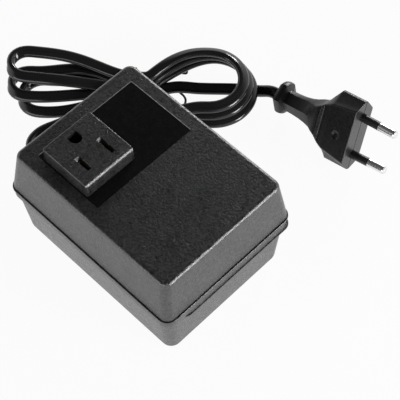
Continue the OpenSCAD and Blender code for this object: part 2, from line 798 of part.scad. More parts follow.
// The lean is given at the start and at the end of the route, to the left of its heading
module tube(path, sides, high, wide, above = [0, 0, 1], lean = [0, 0]) {
  rings = len(path);
  points = [for (i = [0:rings - 1]) each ring(path, i, sides, high, wide, above, lean)];
  walls = [
    for (i = [0:rings - 2], j = [0:sides - 1])
      let (a = i * sides + j, b = i * sides + (j + 1) % sides)
      each [[a, b, a + sides], [b, b + sides, a + sides]]
  ];
  last = (rings - 1) * sides;
  caps = [for (j = [1:sides - 2]) each [[0, j + 1, j], [last, last + j, last + j + 1]]];
  polyhedron(points, concat(walls, caps), convexity = 6);
}

// Wire between two ends, leaving the first and meeting the last along a straight stretch
module wire(from, leave, bend, meet, to, tint) {
  path = concat([from, from + leave], [for (p = bend[0]) from + p], [for (p = bend[1]) to + p], [to + meet, to]);
  color(tint) tube(path, 8, wire_d, wire_d, [5, 2, 3]);
}

inner_end = [gland_x, inner_end_y, gland_z];
core_off = cord_w / 2 - wire_d / 2 - 0.3;

module wire_line_in() {
  from = inner_end + [0, -part_fit, core_off];
  to = [fuse_x - fuse_l / 2 - fuse_lead_l - part_fit, fuse_y, fuse_z];
  wire(from, [0, -wire_d, 0], line_in_bend, [-wire_d, 0, 0], to, "saddlebrown");
}

module wire_neutral_in() {
  from = inner_end + [0, -part_fit, -core_off];
  to = [pin_row[1], pin_row_y + coil_pin_d / 2 + part_fit, coil_pin_top - 1];
  wire(from, [0, -wire_d, 0], neutral_in_bend, [0, wire_d, 0], to, "royalblue");
}

module wire_fuse() {
  from = [fuse_x + fuse_l / 2 + fuse_lead_l + part_fit, fuse_y, fuse_z];
  to = [pin_row[0], pin_row_y + coil_pin_d / 2 + part_fit, coil_pin_top - 1];
  wire(from, [wire_d, 0, 0], fuse_bend, [0, wire_d, 0], to, "saddlebrown");
}

function tail_place(x, l) = [x, slot_y + l / 2 - contact_t, block_low - cover_t - contact_tail_l - part_fit];

module wire_line_out() {
  from = [pin_row[2], pin_row_y + coil_pin_d / 2 + part_fit, coil_pin_top - 1];
  to = tail_place(line_x, line_slot_l);
  wire(from, [0, wire_d, 0], line_out_bend, [0, 0, -2 * wire_d], to, "firebrick");
}

module wire_neutral_out() {
  from = [pin_row[1], pin_row_y - coil_pin_d / 2 - part_fit, coil_pin_top - 1];
  to = tail_place(neutral_x, neutral_slot_l);
  wire(from, [0, -wire_d, 0], neutral_out_bend, [0, 0, -2 * wire_d], to, "royalblue");
}

// Lead entry

module strain_relief() {
  rib = relief_sleeve_l / (2 * relief_ribs + 1);
  function sleeve_r(i) = between(relief_collar_r - 1, relief_tip_r, i / (2 * relief_ribs + 1));
  color(rubber_black) translate([gland_x, gland_in - relief_collar_t, gland_z]) rotate([-90, 0, 0]) rotate_extrude()
    polygon(concat(
      [[0, 0], [relief_collar_r, 0], [relief_collar_r, relief_collar_t], [relief_neck_r, relief_collar_t]],
      [[relief_neck_r, relief_collar_t + gland_out - gland_in]],
      [[relief_collar_r, relief_collar_t + gland_out - gland_in]],
      [[relief_collar_r, 2 * relief_collar_t + gland_out - gland_in]],
      [for (i = [0:2 * relief_ribs], e = [0, 1])
        [sleeve_r(i + e) - (i % 2 == 0 ? 0 : 0.7), 2 * relief_collar_t + gland_out - gland_in + rib * (i + e)]],
      [[0, 2 * relief_collar_t + gland_out - gland_in + relief_sleeve_l]]
    ));
}

module cord_inner() {
  color(rubber_black) tube([[gland_x, gland_in - relief_collar_t, gland_z], inner_end], 8, cord_w, cord_t);
}

module cord_clamp() {
  color(bobbin_white) translate([gland_x, clamp_y, clamp_top]) difference() {
    linear_extrude(clamp_t) hull() for (s = [-1, 1]) translate([s * clamp_dx, 0]) circle(d = clamp_w, $fn = hull_fn);
    for (s = [-1, 1]) translate([s * clamp_dx, 0, -1]) cylinder(d = clamp_screw_d + 2 * part_fit, h = clamp_t + 2);
  }
}

module clamp_screws() {
  color(steel) for (s = [-1, 1]) translate([gland_x + s * clamp_dx, clamp_y, clamp_top + clamp_t]) mirror([0, 0, 1])
    screw(clamp_screw_d, clamp_screw_l, 1.75 * clamp_screw_d, 0.7 * clamp_screw_d);
}

// Hank: loops on the floor, stacked from the top layer down, fanned out at the far end

function ease(x) = let (c = min(1, max(0, x))) c * c * (3 - 2 * c);
function near_r(loop) = bend_right_r - nest_step * (hank_loops - 1 - loop);
function near_end(loop) = hank_right - nest_step * (hank_loops - 1 - loop) - near_r(loop);
function far_r(loop) = bend_left_r + far_grow[loop];
function far_end(loop) = hank_left - far_short[loop] - far_r(loop);
function fan(loop) = fan_b - fan_step * loop;
// How far the runs have opened at distance a from the waist, from 0 to 1
function spread(a, loop) = ease((abs(a) - tie_zone) / ((a > 0 ? near_end(loop) : far_end(loop)) - tie_zone));
// Place across the hank of the run on one side, at distance a from the waist
function run_b(a, side, loop) =
  let (s = spread(a, loop))
  a > 0
    ? bend_right_b * s + side * between(waist_half, near_r(loop), s)
    : fan(loop) * s + side * between(waist_half, far_r(loop), s) - (side < 0 ? far_belly[loop] * 4 * s * (1 - s) : 0);
function hank_point(a, b, layer, loop) =
  let (
    c = cos(hank_turn),
    s = sin(hank_turn),
    open = spread(a, loop),
    step = a > 0 ? layer_step : between(layer_step, far_layer_step, open)
  )
  [
    hank_place.x + a * c - b * s,
    hank_place.y + a * s + b * c,
    hank_high / 2 + layer * step + waist_lift * (1 - open)
  ];
// Point of the hank after a number of turns, each starting at the waist on the case side
function hank_at(turns) =
  let (
    loop = min(floor(turns), hank_loops - 1),
    p = 8 * (turns - loop),
    upper = hank_loops - loop,
    lower = upper - 1,
    near = near_end(loop),
    far = far_end(loop)
  )
  p < 1 ? hank_point(near * p, run_b(near * p, -1, loop), upper, loop)
  : p < 3 ? let (f = 90 * (p - 2))
      hank_point(near + near_r(loop) * cos(f), bend_right_b + near_r(loop) * sin(f), upper, loop)
  : p < 5 ? let (f = (p - 3) / 2, a = between(near, -far, f))
      hank_point(a, run_b(a, 1, loop), upper - ease(f), loop)
  : p < 7 ? let (f = 90 * (p - 4))
      hank_point(-far + far_r(loop) * cos(f), fan(loop) + far_r(loop) * sin(f), lower, loop)
  : let (a = -far * (8 - p)) hank_point(a, run_b(a, -1, loop), lower, loop);
hank_start = hank_point(-tie_zone, -waist_half, hank_loops, 0);
hank_end = hank_point(tie_w / 2 + 1, -waist_half, 0, hank_loops - 1);
hank_steps = hank_loops * loop_rings;
hank_path = concat([hank_start], [for (i = [0:hank_steps]) hank_at(i / loop_rings)], [hank_end]);

// Middles of the two rounded edges of the lead and of the flat between them, at one point of the hank
function spine(path, i) =
  let (t = heading(path, i), level = unit(cross(t, [0, 0, 1])), plumb = cross(level, t))
  [for (k = [-1, 0, 1]) path[i] + k * (cord_w - cord_t) / 2 * (plumb * cos(hank_lean) - level * sin(hank_lean))];
function least_gap(path, apart) =
  let (spines = [for (i = [0:len(path) - 1]) spine(path, i)])
  min([
    for (i = [0:len(path) - 1], j = [i + apart:1:len(path) - 1]) if (norm(path[i] - path[j]) < 3 * cord_w)
      min([for (p = spines[i], q = spines[j]) norm(p - q)]) - cord_t
  ]);
function route_length(path) = len(path) < 2 ? 0
  : [for (i = 1, s = norm(path[1] - path[0]); i < len(path); i = i + 1,
      s = s + (i < len(path) ? norm(path[i] - path[i - 1]) : 0)) s][len(path) - 2];

module cord_hank() {
  fine = [for (i = [0:2 * hank_steps]) hank_at(i / (2 * loop_rings))];
  echo(hank_least_gap = least_gap(fine, 8), hank_length = route_length(fine));
  color(rubber_black) tube(hank_path, 6, cord_w, cord_t, lean = hank_lean * both);
}

relief_tip = [gland_x, relief_tip_y, gland_z];
lead_path = concat(
  [relief_tip, relief_tip + [0, cord_t / 2, 0]],
  lead_bend,
  [hank_start - cord_t * unit(hank_at(0) - hank_start), hank_start]
);
tail_path = concat(
  [hank_end, hank_end + cord_t * unit(hank_end - hank_at(hank_loops))],
  tail_bend,
  [tail_end - cord_w * plug_axis, tail_end]
);

module cord_lead() {
  echo(lead_length = route_length(lead_path));
  color(rubber_black) tube(lead_path, 8, cord_w, cord_t, lean = [0, hank_lean]);
}

module cord_tail() {
  echo(tail_length = route_length(tail_path));
  color(rubber_black) tube(tail_path, 8, cord_w, cord_t, lean = [hank_lean, tail_lean]);
}

module cord_tie() {
  width = cord_t + (cord_w - cord_t) * sin(hank_lean);
  height = hank_loops * layer_step + hank_high;
  inner = [2 * waist_half + width + 0.4, height + 0.4];
  outer = inner + 2 * tie_t * both;
  middle = waist_lift + height / 2;
  color(rubber_black) translate([hank_place.x, hank_place.y, middle]) rotate([90, 0, hank_turn + 90])
    translate([0, 0, -tie_w / 2]) difference() {
      linear_extrude(tie_w) outline(outer, 2);
      translate([0, 0, -1]) linear_extrude(tie_w + 2) outline(inner, 1.2);
    }
}

// Plug, in its own frame: X out of the face, Y across the pins, Z through its thickness

module plug_frame() {
  translate(plug_place) rotate(plug_turn) children();
}

// Section at distance u behind the face: a bevelled flat that turns into a round neck
function plug_section(u) =
  let (
    head = min(1, u / plug_head_l),
    d = u - plug_head_l,
    soft = ease(d / edge_l),
    waist = between(plug_shoulder, neck_d, ease(d / flare_l)) / 2,
    step = (plug_rear_w - plug_shoulder) / 2 * max(0, 1 - d / shoulder_l),
    tip = d <= 0 ? between(plug_w, plug_rear_w, head) / 2 : waist + step,
    edge = min(0.95 * tip, between(plug_flat / 2, 0.45 * waist, soft)),
    t = between(between(plug_t, plug_rear_t, head), neck_d, ease(d / flare_l))
  )
  [
    [tip, 0], [between(edge, tip, between(0.55, 0.73, soft)), t / 2 * between(0.45, 0.53, soft)],
    [edge, t / 2 * between(1, 0.89, soft)], [0, t / 2]
  ];
function mirrored(q) = concat(
  q,
  [for (i = [2:-1:1]) [-q[i].x, q[i].y]], [[-q[0].x, 0]],
  [for (i = [1:2]) [-q[i].x, -q[i].y]], [[0, -q[3].y]], [for (i = [2:-1:1]) [q[i].x, -q[i].y]]
);

module plug_loft() {
  behind = plug_l + fuse - plug_head_l;
  places = concat([0], [for (f = [0, 0.08, 0.16, 0.226, 0.3, 0.38, 0.5, 0.65, 0.8, 1]) plug_head_l + f * behind]);
  sections = [for (u = places) mirrored(plug_section(u))];
  n = len(sections[0]);
  rings = [for (i = [0:len(places) - 1], p = sections[i]) [-places[i], p.x, p.y]];
  points = concat(rings, [[0, 0, 0], [-places[len(places) - 1], 0, 0]]);
  walls = [
    for (i = [0:len(places) - 2], j = [0:n - 1])
      let (a = i * n + j, b = i * n + (j + 1) % n)
      each [[a, b, a + n], [b, b + n, a + n]]
  ];
  last = (len(places) - 1) * n;
  middle = last + n;
  caps = [
    for (j = [0:n - 1])
      let (k = (j + 1) % n)
      each [[middle, k, j], [middle + 1, last + j, last + k]]
  ];
  polyhedron(points, concat(walls, caps), convexity = 4);
}

module at_pins() {
  for (s = [-1, 1]) translate([0, s * pin_pitch / 2, 0]) rotate([0, 0, -s * pin_lean]) rotate([0, 90, 0]) children();
}

module plug_body() {
  color(rubber_black) plug_frame() difference() {
    union() {
      plug_loft();
      translate([-collar_back, 0, 0]) rotate([0, 90, 0]) rotate_extrude() polygon(concat(
        [[0, 0]],
        [for (a = [-90:30:90]) [collar_d / 2 - collar_t / 4 + collar_t / 4 * cos(a), collar_t / 2 + collar_t / 2 * sin(a)]],
        [[0, collar_t]]
      ));
    }
    at_pins() translate([0, 0, -pin_seat_l]) cylinder(d = pin_shank_d + 2 * screw_fit, h = pin_seat_l + 2);
    for (s = [-1, 1]) translate([-plug_head_l * 0.55, -1.5, s * (plug_t / 2 + 2)]) sphere(d = 6.5);
  }
}

module plug_pins() {
  tip = pin_d / 4;
  color(steel) plug_frame() at_pins() rotate_extrude() polygon(concat(
    [[0, -pin_seat_l], [pin_shank_d / 2, -pin_seat_l], [pin_shank_d / 2, sleeve_l]],
    [[pin_d / 2, sleeve_l]],
    [for (a = [0:30:90]) [pin_d / 2 - tip + tip * cos(a), pin_l - tip + tip * sin(a)]],
    [[0, pin_l]]
  ));
}

module pin_sleeves() {
  color(rubber_black) plug_frame() at_pins() difference() {
    cylinder(d = sleeve_d, h = sleeve_l);
    translate([0, 0, -1]) cylinder(d = pin_shank_d + 2 * screw_fit, h = sleeve_l + 2);
  }
}

upper_shell();
lower_shell();
case_screws();
label_film();
outlet_block();
line_contact();
neutral_contact();
contact_cover();
cover_screws();
core_e();
core_i();
bobbin();
winding();
winding_tape();
bobbin_pins();
core_bolts();
core_nuts();
core_washers();
front_rail();
rear_rail();
rail_screws();
thermal_fuse();
wire_line_in();
wire_neutral_in();
wire_fuse();
wire_line_out();
wire_neutral_out();
strain_relief();
cord_inner();
cord_clamp();
clamp_screws();
cord_lead();
cord_hank();
cord_tail();
cord_tie();
plug_body();
plug_pins();
pin_sleeves();
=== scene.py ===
import math

import bmesh
import bpy
from mathutils import Matrix, Vector


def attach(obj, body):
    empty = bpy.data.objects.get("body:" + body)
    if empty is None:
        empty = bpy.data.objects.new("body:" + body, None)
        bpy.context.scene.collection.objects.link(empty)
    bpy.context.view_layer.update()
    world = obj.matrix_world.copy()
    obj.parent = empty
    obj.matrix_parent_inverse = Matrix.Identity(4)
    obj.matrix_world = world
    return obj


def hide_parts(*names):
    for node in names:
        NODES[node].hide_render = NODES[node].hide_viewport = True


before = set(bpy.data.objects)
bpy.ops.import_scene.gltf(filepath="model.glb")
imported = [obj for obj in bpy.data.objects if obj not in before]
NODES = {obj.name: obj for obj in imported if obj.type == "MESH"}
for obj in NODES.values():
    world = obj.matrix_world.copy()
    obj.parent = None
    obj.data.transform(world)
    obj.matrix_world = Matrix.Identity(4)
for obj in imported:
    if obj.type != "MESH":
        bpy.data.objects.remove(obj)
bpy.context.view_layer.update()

bl_info = {
    "name": "Travel voltage converter",
    "version": (1, 0, 0),
    "blender": (4, 5, 0),
    "location": "View3D > Sidebar > Converter",
    "description": "Dresses the packed converter: case, outlet, label film, tied lead, plug and studio",
    "category": "Object",
}

MM = 0.001


# Sizes and colours that a user would change

def size(label, about, millimetres):
    """One length property, given in millimetres."""
    return bpy.props.FloatProperty(
        name=label, description=about, default=millimetres * MM, unit="LENGTH", precision=5
    )


def number(label, about, value):
    """One plain number property."""
    return bpy.props.FloatProperty(name=label, description=about, default=value)


def shade(label, about, value):
    """One colour property, in linear values."""
    return bpy.props.FloatVectorProperty(
        name=label, description=about, default=value, subtype="COLOR", size=3, min=0, max=1
    )


class ConverterCase(bpy.types.PropertyGroup):
    """Sizes of the two shells."""
    seam_w: size("Seam width", "Width of the case at the seam", 73.2)
    seam_l: size("Seam length", "Length of the case at the seam", 96.5)
    top_w: size("Top width", "Width of the flat top", 67)
    top_l: size("Top length", "Length of the flat top", 90)
    base_w: size("Base width", "Width of the base", 66.5)
    base_l: size("Base length", "Length of the base", 91.5)
    height: size("Height", "Top of the case above the floor", 57)
    seam_z: size("Seam height", "Seam above the floor", 34)
    wall: size("Wall", "Wall thickness of both shells", 2.2)
    corner: size("Corner", "Corner radius at the seam, seen from above", 4.2)
    top_edge: size("Top edge", "Softening of the top edge", 1.6)
    base_edge: size("Base edge", "Softening of the bottom edge", 3.2)
    band_h: size("Band height", "Height of the band under the seam", 5.8)
    band_proud: size("Band proud", "How far the band stands out past the upper shell", 0.3)
    lip_out: size("Lip", "How far the thin lip at the seam stands out past the band", 0.42)
    lip_h: size("Lip height", "Height of the thin lip at the seam", 1)
    rib_out: size("Front rib", "How far the rib along the front stands out past the band", 0.4)
    band_step: size("Band step", "Step from the band in to the lower wall", 1.1)
    gap: size("Seam gap", "Open groove between the shells", 0.45)
    colour: shade("Case colour", "Base colour of the moulded case", (0.017, 0.017, 0.0179))


class ConverterOutlet(bpy.types.PropertyGroup):
    """Sizes of the outlet block and the label film."""
    side: size("Side", "Side of the square block", 27.1)
    rise: size("Rise", "Height of the block above the case", 7.1)
    depth: size("Depth", "Depth of the block below the top", 13)
    centre_x: size("Centre across", "Middle of the block across the case", -12.7)
    centre_y: size("Centre along", "Middle of the block along the case", 21)
    corner: size("Corner", "Corner radius of the block, seen from above", 1.1)
    front_edge: size("Front edge", "Rounding of the outlet block along its front edge", 2)
    edge: size("Edge", "Softening of the upper edge", 0.5)
    slot_pitch: size("Slot pitch", "Distance between the blade slots", 12.7)
    slot_w: size("Slot width", "Width of the blade slots", 2)
    line_l: size("Line slot", "Length of the line slot", 7)
    neutral_l: size("Neutral slot", "Length of the neutral slot", 8.4)
    slot_back: size("Slot line", "Slot line behind the middle of the block", 4.6)
    earth_off: size("Earth offset", "Slot line to the middle of the earth hole", 11.9)
    earth_d: size("Earth hole", "Width of the earth hole", 5.4)
    film_w: size("Film width", "Width of the label film", 53.6)
    film_l: size("Film length", "Length of the label film", 36.3)
    film_back: size("Film inset", "Rear edge of the top to the film", 7.8)
    film_t: size("Film thickness", "Thickness of the label film", 0.25)
    film_colour: shade("Film colour", "Base colour of the label film", (0.003, 0.003, 0.0034))


class ConverterCord(bpy.types.PropertyGroup):
    """Sizes of the flat lead, its hank and its tie."""
    width: size("Width", "Width of the flat lead", 5.7)
    thick: size("Thickness", "Thickness of the flat lead", 3.4)
    tie_w: size("Tie width", "Width of the tie", 4)
    tie_t: size("Tie thickness", "Thickness of the tie", 0.7)
    colour: shade("Lead colour", "Base colour of the vinyl lead", (0.0105, 0.0105, 0.0115))


class ConverterPlug(bpy.types.PropertyGroup):
    """Sizes of the plug body."""
    width: size("Width", "Overall width of the face", 35.3)
    flat: size("Flat", "Width of the flat of the face", 26.1)
    thick: size("Thickness", "Thickness of the plug", 13.7)
    collar_d: size("Collar", "Diameter of the collar", 15.7)
    collar_up: size("Collar lift", "How far the collar stands above the lead's middle", 0.65)
    colour: shade("Plug colour", "Base colour of the plug", (0.0105, 0.0105, 0.0115))


class ConverterStudio(bpy.types.PropertyGroup):
    """Camera and light of the stage."""
    lens: number("Lens", "Focal length on a 36 mm sensor, in millimetres", 119.507)
    shift: number("Shift", "Sideways shift of the frame", 0.01535)
    key: number("Key light", "Power of the key light, in watts", 14.0)
    side: number("Side light", "Power of the light on the left, in watts", 6.0)
    rim: number("Rim light", "Power of the light behind, in watts", 12.0)
    floor: shade("Floor colour", "Colour of the floor", (0.86, 0.86, 0.86))


# Modelling helpers

def clear_selection():
    """Leaves edit mode and deselects every object."""
    if bpy.context.object is not None and bpy.context.object.mode != "OBJECT":
        bpy.ops.object.mode_set(mode="OBJECT")
    bpy.ops.object.select_all(action="DESELECT")


def only(obj):
    """Makes one object the selected and active one."""
    clear_selection()
    obj.select_set(True)
    bpy.context.view_layer.objects.active = obj


def edit(obj, test, kind="VERT"):
    """In edit mode, selects the vertices, edges or faces whose middle passes the test."""
    bpy.ops.mesh.select_mode(type=kind)
    bpy.ops.mesh.select_all(action="DESELECT")
    mesh = bmesh.from_edit_mesh(obj.data)
    if kind == "VERT":
        for v in mesh.verts:
            v.select_set(test(v.co))
    elif kind == "EDGE":
        for e in mesh.edges:
            e.select_set(all(test(v.co) for v in e.verts))
    else:
        for f in mesh.faces:
            f.select_set(test(f.calc_center_median()) and abs(f.normal.z) > 0.9)
    mesh.select_flush_mode()
    bmesh.update_edit_mesh(obj.data)


def resize(value, centre=(0, 0, 0)):
    """Scales what is selected about the centre."""
    bpy.ops.transform.resize(value=value, center_override=centre)


def begin(name):
    """Names the new primitive and opens it in edit mode, all selected."""
    obj = bpy.context.object
    obj.name = obj.data.name = name
    bpy.ops.object.mode_set(mode="EDIT")
    bpy.ops.mesh.select_mode(type="VERT")
    bpy.ops.mesh.select_all(action="SELECT")
    return obj


def plate(name, w, l, z, r, steps=8, centre=(0, 0)):
    """Rounded rectangle in edit mode, all selected, ready to be raised."""
    clear_selection()
    bpy.ops.mesh.primitive_plane_add(size=1)
    obj = begin(name)
    resize((w, l, 1))
    bpy.ops.transform.translate(value=(centre[0], centre[1], z))
    if r:
        bpy.ops.mesh.bevel(offset=r, segments=steps, affect="VERTICES")
    bpy.ops.mesh.select_all(action="SELECT")
    return obj


def lift(dz, grow=(1, 1), centre=(0, 0)):
    """Extrudes the selected face by dz and scales it about the centre."""
    bpy.ops.mesh.extrude_region_move(TRANSFORM_OT_translate={"value": (0, 0, dz)})
    if grow != (1, 1):
        resize((grow[0], grow[1], 1), (centre[0], centre[1], 0))


def closed(obj):
    """Ends a solid: doubles merged, holes filled, normals outward, back in object mode."""
    bpy.ops.mesh.select_mode(type="VERT")
    bpy.ops.mesh.select_all(action="SELECT")
    bpy.ops.mesh.remove_doubles(threshold=1e-7)
    bpy.ops.mesh.select_all(action="DESELECT")
    bpy.ops.mesh.select_non_manifold(extend=False, use_wire=False, use_multi_face=False, use_verts=False)
    if any(e.select for e in bmesh.from_edit_mesh(obj.data).edges):
        bpy.ops.mesh.edge_face_add()
    bpy.ops.mesh.select_all(action="SELECT")
    bpy.ops.mesh.normals_make_consistent(inside=False)
    bpy.ops.object.mode_set(mode="OBJECT")
    return obj


def soften(obj, test, r, steps=4):
    """Bevels the edges whose ends all pass the test."""
    edit(obj, test, "EDGE")
    bpy.ops.mesh.bevel(offset=r, segments=steps, profile=0.5, affect="EDGES", clamp_overlap=True)


def block(name, w, l, low, high, r=0, centre=(0, 0), steps=8):
    """Plain raised plate, closed."""
    obj = plate(name, w, l, low, r, steps, centre)
    lift(high - low)
    return closed(obj)


def post(name, x, y, low, high, d, sides=48):
    """Round post from its flat circle."""
    clear_selection()
    bpy.ops.mesh.primitive_circle_add(vertices=sides, radius=d / 2, fill_type="NGON")
    obj = begin(name)
    bpy.ops.transform.translate(value=(x, y, low))
    lift(high - low)
    return closed(obj)


def gather(objs):
    """Joins pieces into the first one."""
    clear_selection()
    for o in objs:
        o.select_set(True)
    bpy.context.view_layer.objects.active = objs[0]
    if len(objs) > 1:
        bpy.ops.object.join()
    return objs[0]


def settle(obj, place):
    """Moves a piece by a matrix and applies it."""
    obj.matrix_world = place
    only(obj)
    bpy.ops.object.transform_apply(location=True, rotation=True, scale=True)
    return obj


def placed(spot, angle, axis):
    """Matrix of a turn about one axis, then a move to the spot."""
    return Matrix.Translation(Vector(spot)) @ Matrix.Rotation(angle, 4, axis)


def combine(obj, tool, how="DIFFERENCE"):
    """Cuts or adds the tool by an applied Boolean, then removes it."""
    only(obj)
    mod = obj.modifiers.new("combine", "BOOLEAN")
    mod.operation = how
    mod.solver = "EXACT"
    mod.object = tool
    bpy.ops.object.modifier_apply(modifier=mod.name)
    if not obj.data.polygons:
        raise RuntimeError(f"{obj.name}: nothing left after {how}")
    only(tool)
    bpy.ops.object.delete()


def ease_edges(obj, r, angle=40, steps=2):
    """Applied Bevel on the sharp edges."""
    only(obj)
    mod = obj.modifiers.new("edges", "BEVEL")
    mod.width = r
    mod.segments = steps
    mod.limit_method = "ANGLE"
    mod.angle_limit = math.radians(angle)
    mod.use_clamp_overlap = True
    bpy.ops.object.modifier_apply(modifier=mod.name)


def smooth(obj, angle=35):
    """Smooth shading under an angle, with normals weighted by the large faces."""
    only(obj)
    bpy.ops.object.shade_smooth_by_angle(angle=math.radians(angle))
    mod = obj.modifiers.new("weights", "WEIGHTED_NORMAL")
    mod.keep_sharp = True
    bpy.ops.object.modifier_apply(modifier=mod.name)


def hand_over(obj, finish, slot, *nodes):
    """Gives a piece its finish and body, and lets it stand for its CAD nodes."""
    clear_selection()
    obj.data.materials.clear()
    obj.data.materials.append(finish)
    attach(obj, "root")
    if nodes:
        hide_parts(*nodes)


# Finishes, all from nodes on Object coordinates or on the lead's own map

FLOOR_WHITE = 0.94  # how much of the floor is plain white to the camera; the rest keeps the shadow


def put(socket, value):
    """Links an output to a socket, or sets the socket to a constant."""
    if isinstance(value, bpy.types.NodeSocket):
        socket.id_data.links.new(value, socket)
    else:
        socket.default_value = value


def fill(made, **values):
    """Sets sockets of a node by their names, with _ for a space."""
    for name, value in values.items():
        put(made.inputs[name.replace("_", " ")], value)


def node(tree, kind, out=0, **values):
    """New node with its sockets set; returns one of its outputs."""
    made = tree.nodes.new(kind)
    fill(made, **values)
    return made.outputs[out]


def calc(tree, operation, *values):
    """Math node on outputs and constants."""
    made = tree.nodes.new("ShaderNodeMath")
    made.operation = operation
    for socket, value in zip(made.inputs, values):
        put(socket, value)
    return made.outputs[0]


def new_finish(name):
    """Empty material with its shader; returns the material, its tree and the shader."""
    made = bpy.data.materials.get(name)
    if made is not None:
        bpy.data.materials.remove(made)
    made = bpy.data.materials.new(name)
    made.use_nodes = True
    return made, made.node_tree, made.node_tree.nodes["Principled BSDF"]


def coords(tree, turn=(0, 0, 0), stretch=(1, 1, 1), kind="Object"):
    """Coordinates of the piece, turned and stretched."""
    source = node(tree, "ShaderNodeTexCoord", kind)
    return node(tree, "ShaderNodeMapping", Vector=source, Rotation=turn, Scale=stretch)


def noise(tree, vector, scale, detail=3.0, rough=0.6):
    """Noise of a scale per metre."""
    return node(tree, "ShaderNodeTexNoise", Vector=vector, Scale=scale, Detail=detail, Roughness=rough)


def bands(tree, vector, axis, period):
    """Slightly wavering bands along one axis, of a period in metres."""
    lines = node(tree, "ShaderNodeTexWave", "Fac", Vector=vector, Scale=0.314159 / period, Distortion=0.4)
    lines.node.bands_direction = axis
    return lines


def blend(tree, factor, low, high, start=0.3, end=0.7):
    """Ramp from one colour or grey to another."""
    mixed = node(tree, "ShaderNodeValToRGB", "Color", Fac=factor)
    for stop, place, value in zip(mixed.node.color_ramp.elements, (start, end), (low, high)):
        stop.position = place
        stop.color = (value, value, value, 1) if isinstance(value, float) else (*value, 1)
    return mixed


def relief(tree, shader, height, depth, strength=1.0, under=None):
    """Bump of a depth in metres on the shader, over another one."""
    bump = node(tree, "ShaderNodeBump", Height=height, Distance=depth, Strength=strength)
    if under is not None:
        put(bump.node.inputs["Normal"], under)
    put(shader.inputs["Normal"], bump)
    return bump


def scaled(colour, factor):
    """A colour times a factor."""
    return tuple(min(1.0, c * factor) for c in colour)


def grained(name, colour, rough=(0.45, 0.6), grain=1500, depth=0.00004, spread=0.35, metal=0.0, specular=0.5):
    """Moulded or cast surface with a fine grain, a broad cloudiness and an uneven sheen."""
    made, tree, shader = new_finish(name)
    where = coords(tree)
    fine = noise(tree, where, grain, 4.0, 0.65)
    cloudy = calc(tree, "MULTIPLY_ADD", noise(tree, where, 90, 2.0), 0.25, fine)
    fill(
        shader,
        Base_Color=blend(tree, cloudy, scaled(colour, 1 - spread), scaled(colour, 1 + spread), 0.5, 0.75),
        Roughness=blend(tree, noise(tree, where, grain * 0.45), *rough),
        Metallic=metal,
        Specular_IOR_Level=specular,
    )
    relief(tree, shader, fine, depth)
    return made


def banded(name, low, high, axis, period, rough=0.4, metal=0.0, depth=0.00003, turn=(0, 0, 0)):
    """Surface of even turns, sheets or tool marks along one axis."""
    made, tree, shader = new_finish(name)
    where = coords(tree, turn)
    lines = bands(tree, where, axis, period)
    fill(
        shader,
        Base_Color=blend(tree, lines, low, high, 0.15, 0.85),
        Roughness=blend(tree, noise(tree, where, 900), rough * 0.8, min(1.0, rough * 1.25)),
        Metallic=metal,
    )
    relief(tree, shader, lines, depth)
    return made


def case_finish(context):
    """The moulded finish that both shells and the outlet block share."""
    made = bpy.data.materials.get("case_moulded")
    if made is None:
        colour = tuple(context.scene.converter_case.colour)
        made = grained("case_moulded", colour, (0.25, 0.36), 900, 0.00027, 0.85, specular=0.95)
    return made


def film_finish(colour, middle, half):
    """Smooth film: near-black, faintly wavy, with a painted highlight, a pale line, on its right and rear cut edges."""
    made, tree, shader = new_finish("label_film_finish")
    where = coords(tree)
    place = node(tree, "ShaderNodeSeparateXYZ", Vector=where).node.outputs
    # Painted highlight: distance in from the right and rear edges only, the edges that catch the light
    inside = [calc(tree, "SUBTRACT", half[i], calc(tree, "SUBTRACT", place[i], middle[i])) for i in (0, 1)]
    edge_highlight_distance = calc(tree, "MINIMUM", *inside)
    edge = node(tree, "ShaderNodeMapRange", "Result", Value=edge_highlight_distance, From_Min=0.00012, From_Max=0.0004)
    fill(
        shader,
        # the pale grey near those edges is a painted highlight, not a colour of the film
        Base_Color=blend(tree, edge, (0.42, 0.42, 0.42), colour, 0.1, 0.9),
        Roughness=blend(tree, noise(tree, where, 500, 4.0), 0.2, 0.3),
        Specular_IOR_Level=0.4,
    )
    relief(tree, shader, noise(tree, where, 160, 2.0), 0.00004, 0.5)
    return made


def vinyl_finish(colour):
    """Extruded vinyl of the lead: glossy, with faint lines along its length, on the lead's own map."""
    made, tree, shader = new_finish("lead_vinyl")
    drawn = noise(tree, coords(tree, stretch=(14, 46, 1), kind="UV"), 1.0)
    fine = noise(tree, coords(tree), 1300)
    fill(
        shader,
        Base_Color=blend(tree, drawn, scaled(colour, 0.75), scaled(colour, 1.4)),
        Roughness=blend(tree, fine, 0.11, 0.2),
        Specular_IOR_Level=0.5,
    )
    relief(tree, shader, fine, 0.000012, under=relief(tree, shader, drawn, 0.00002))
    return made


def plug_finish(colour):
    """Moulded rubber of the plug, with a shinier face between the pins."""
    made = grained("plug_rubber", colour, (0.28, 0.4), 1300, 0.00006)
    tree = made.node_tree
    along = tree.nodes.new("ShaderNodeVectorMath")
    along.operation = "DOT_PRODUCT"
    put(along.inputs[0], coords(tree))
    put(along.inputs[1], PLUG_AXIS)
    face = PLUG_PLACE.dot(PLUG_AXIS)
    shine = node(
        tree, "ShaderNodeMapRange", "Result", Value=along.outputs["Value"],
        From_Min=(face + 0.1) * MM, From_Max=(face + 0.35) * MM, To_Min=0.45, To_Max=1.0,
    )
    fill(tree.nodes["Principled BSDF"], Specular_IOR_Level=shine)
    return made


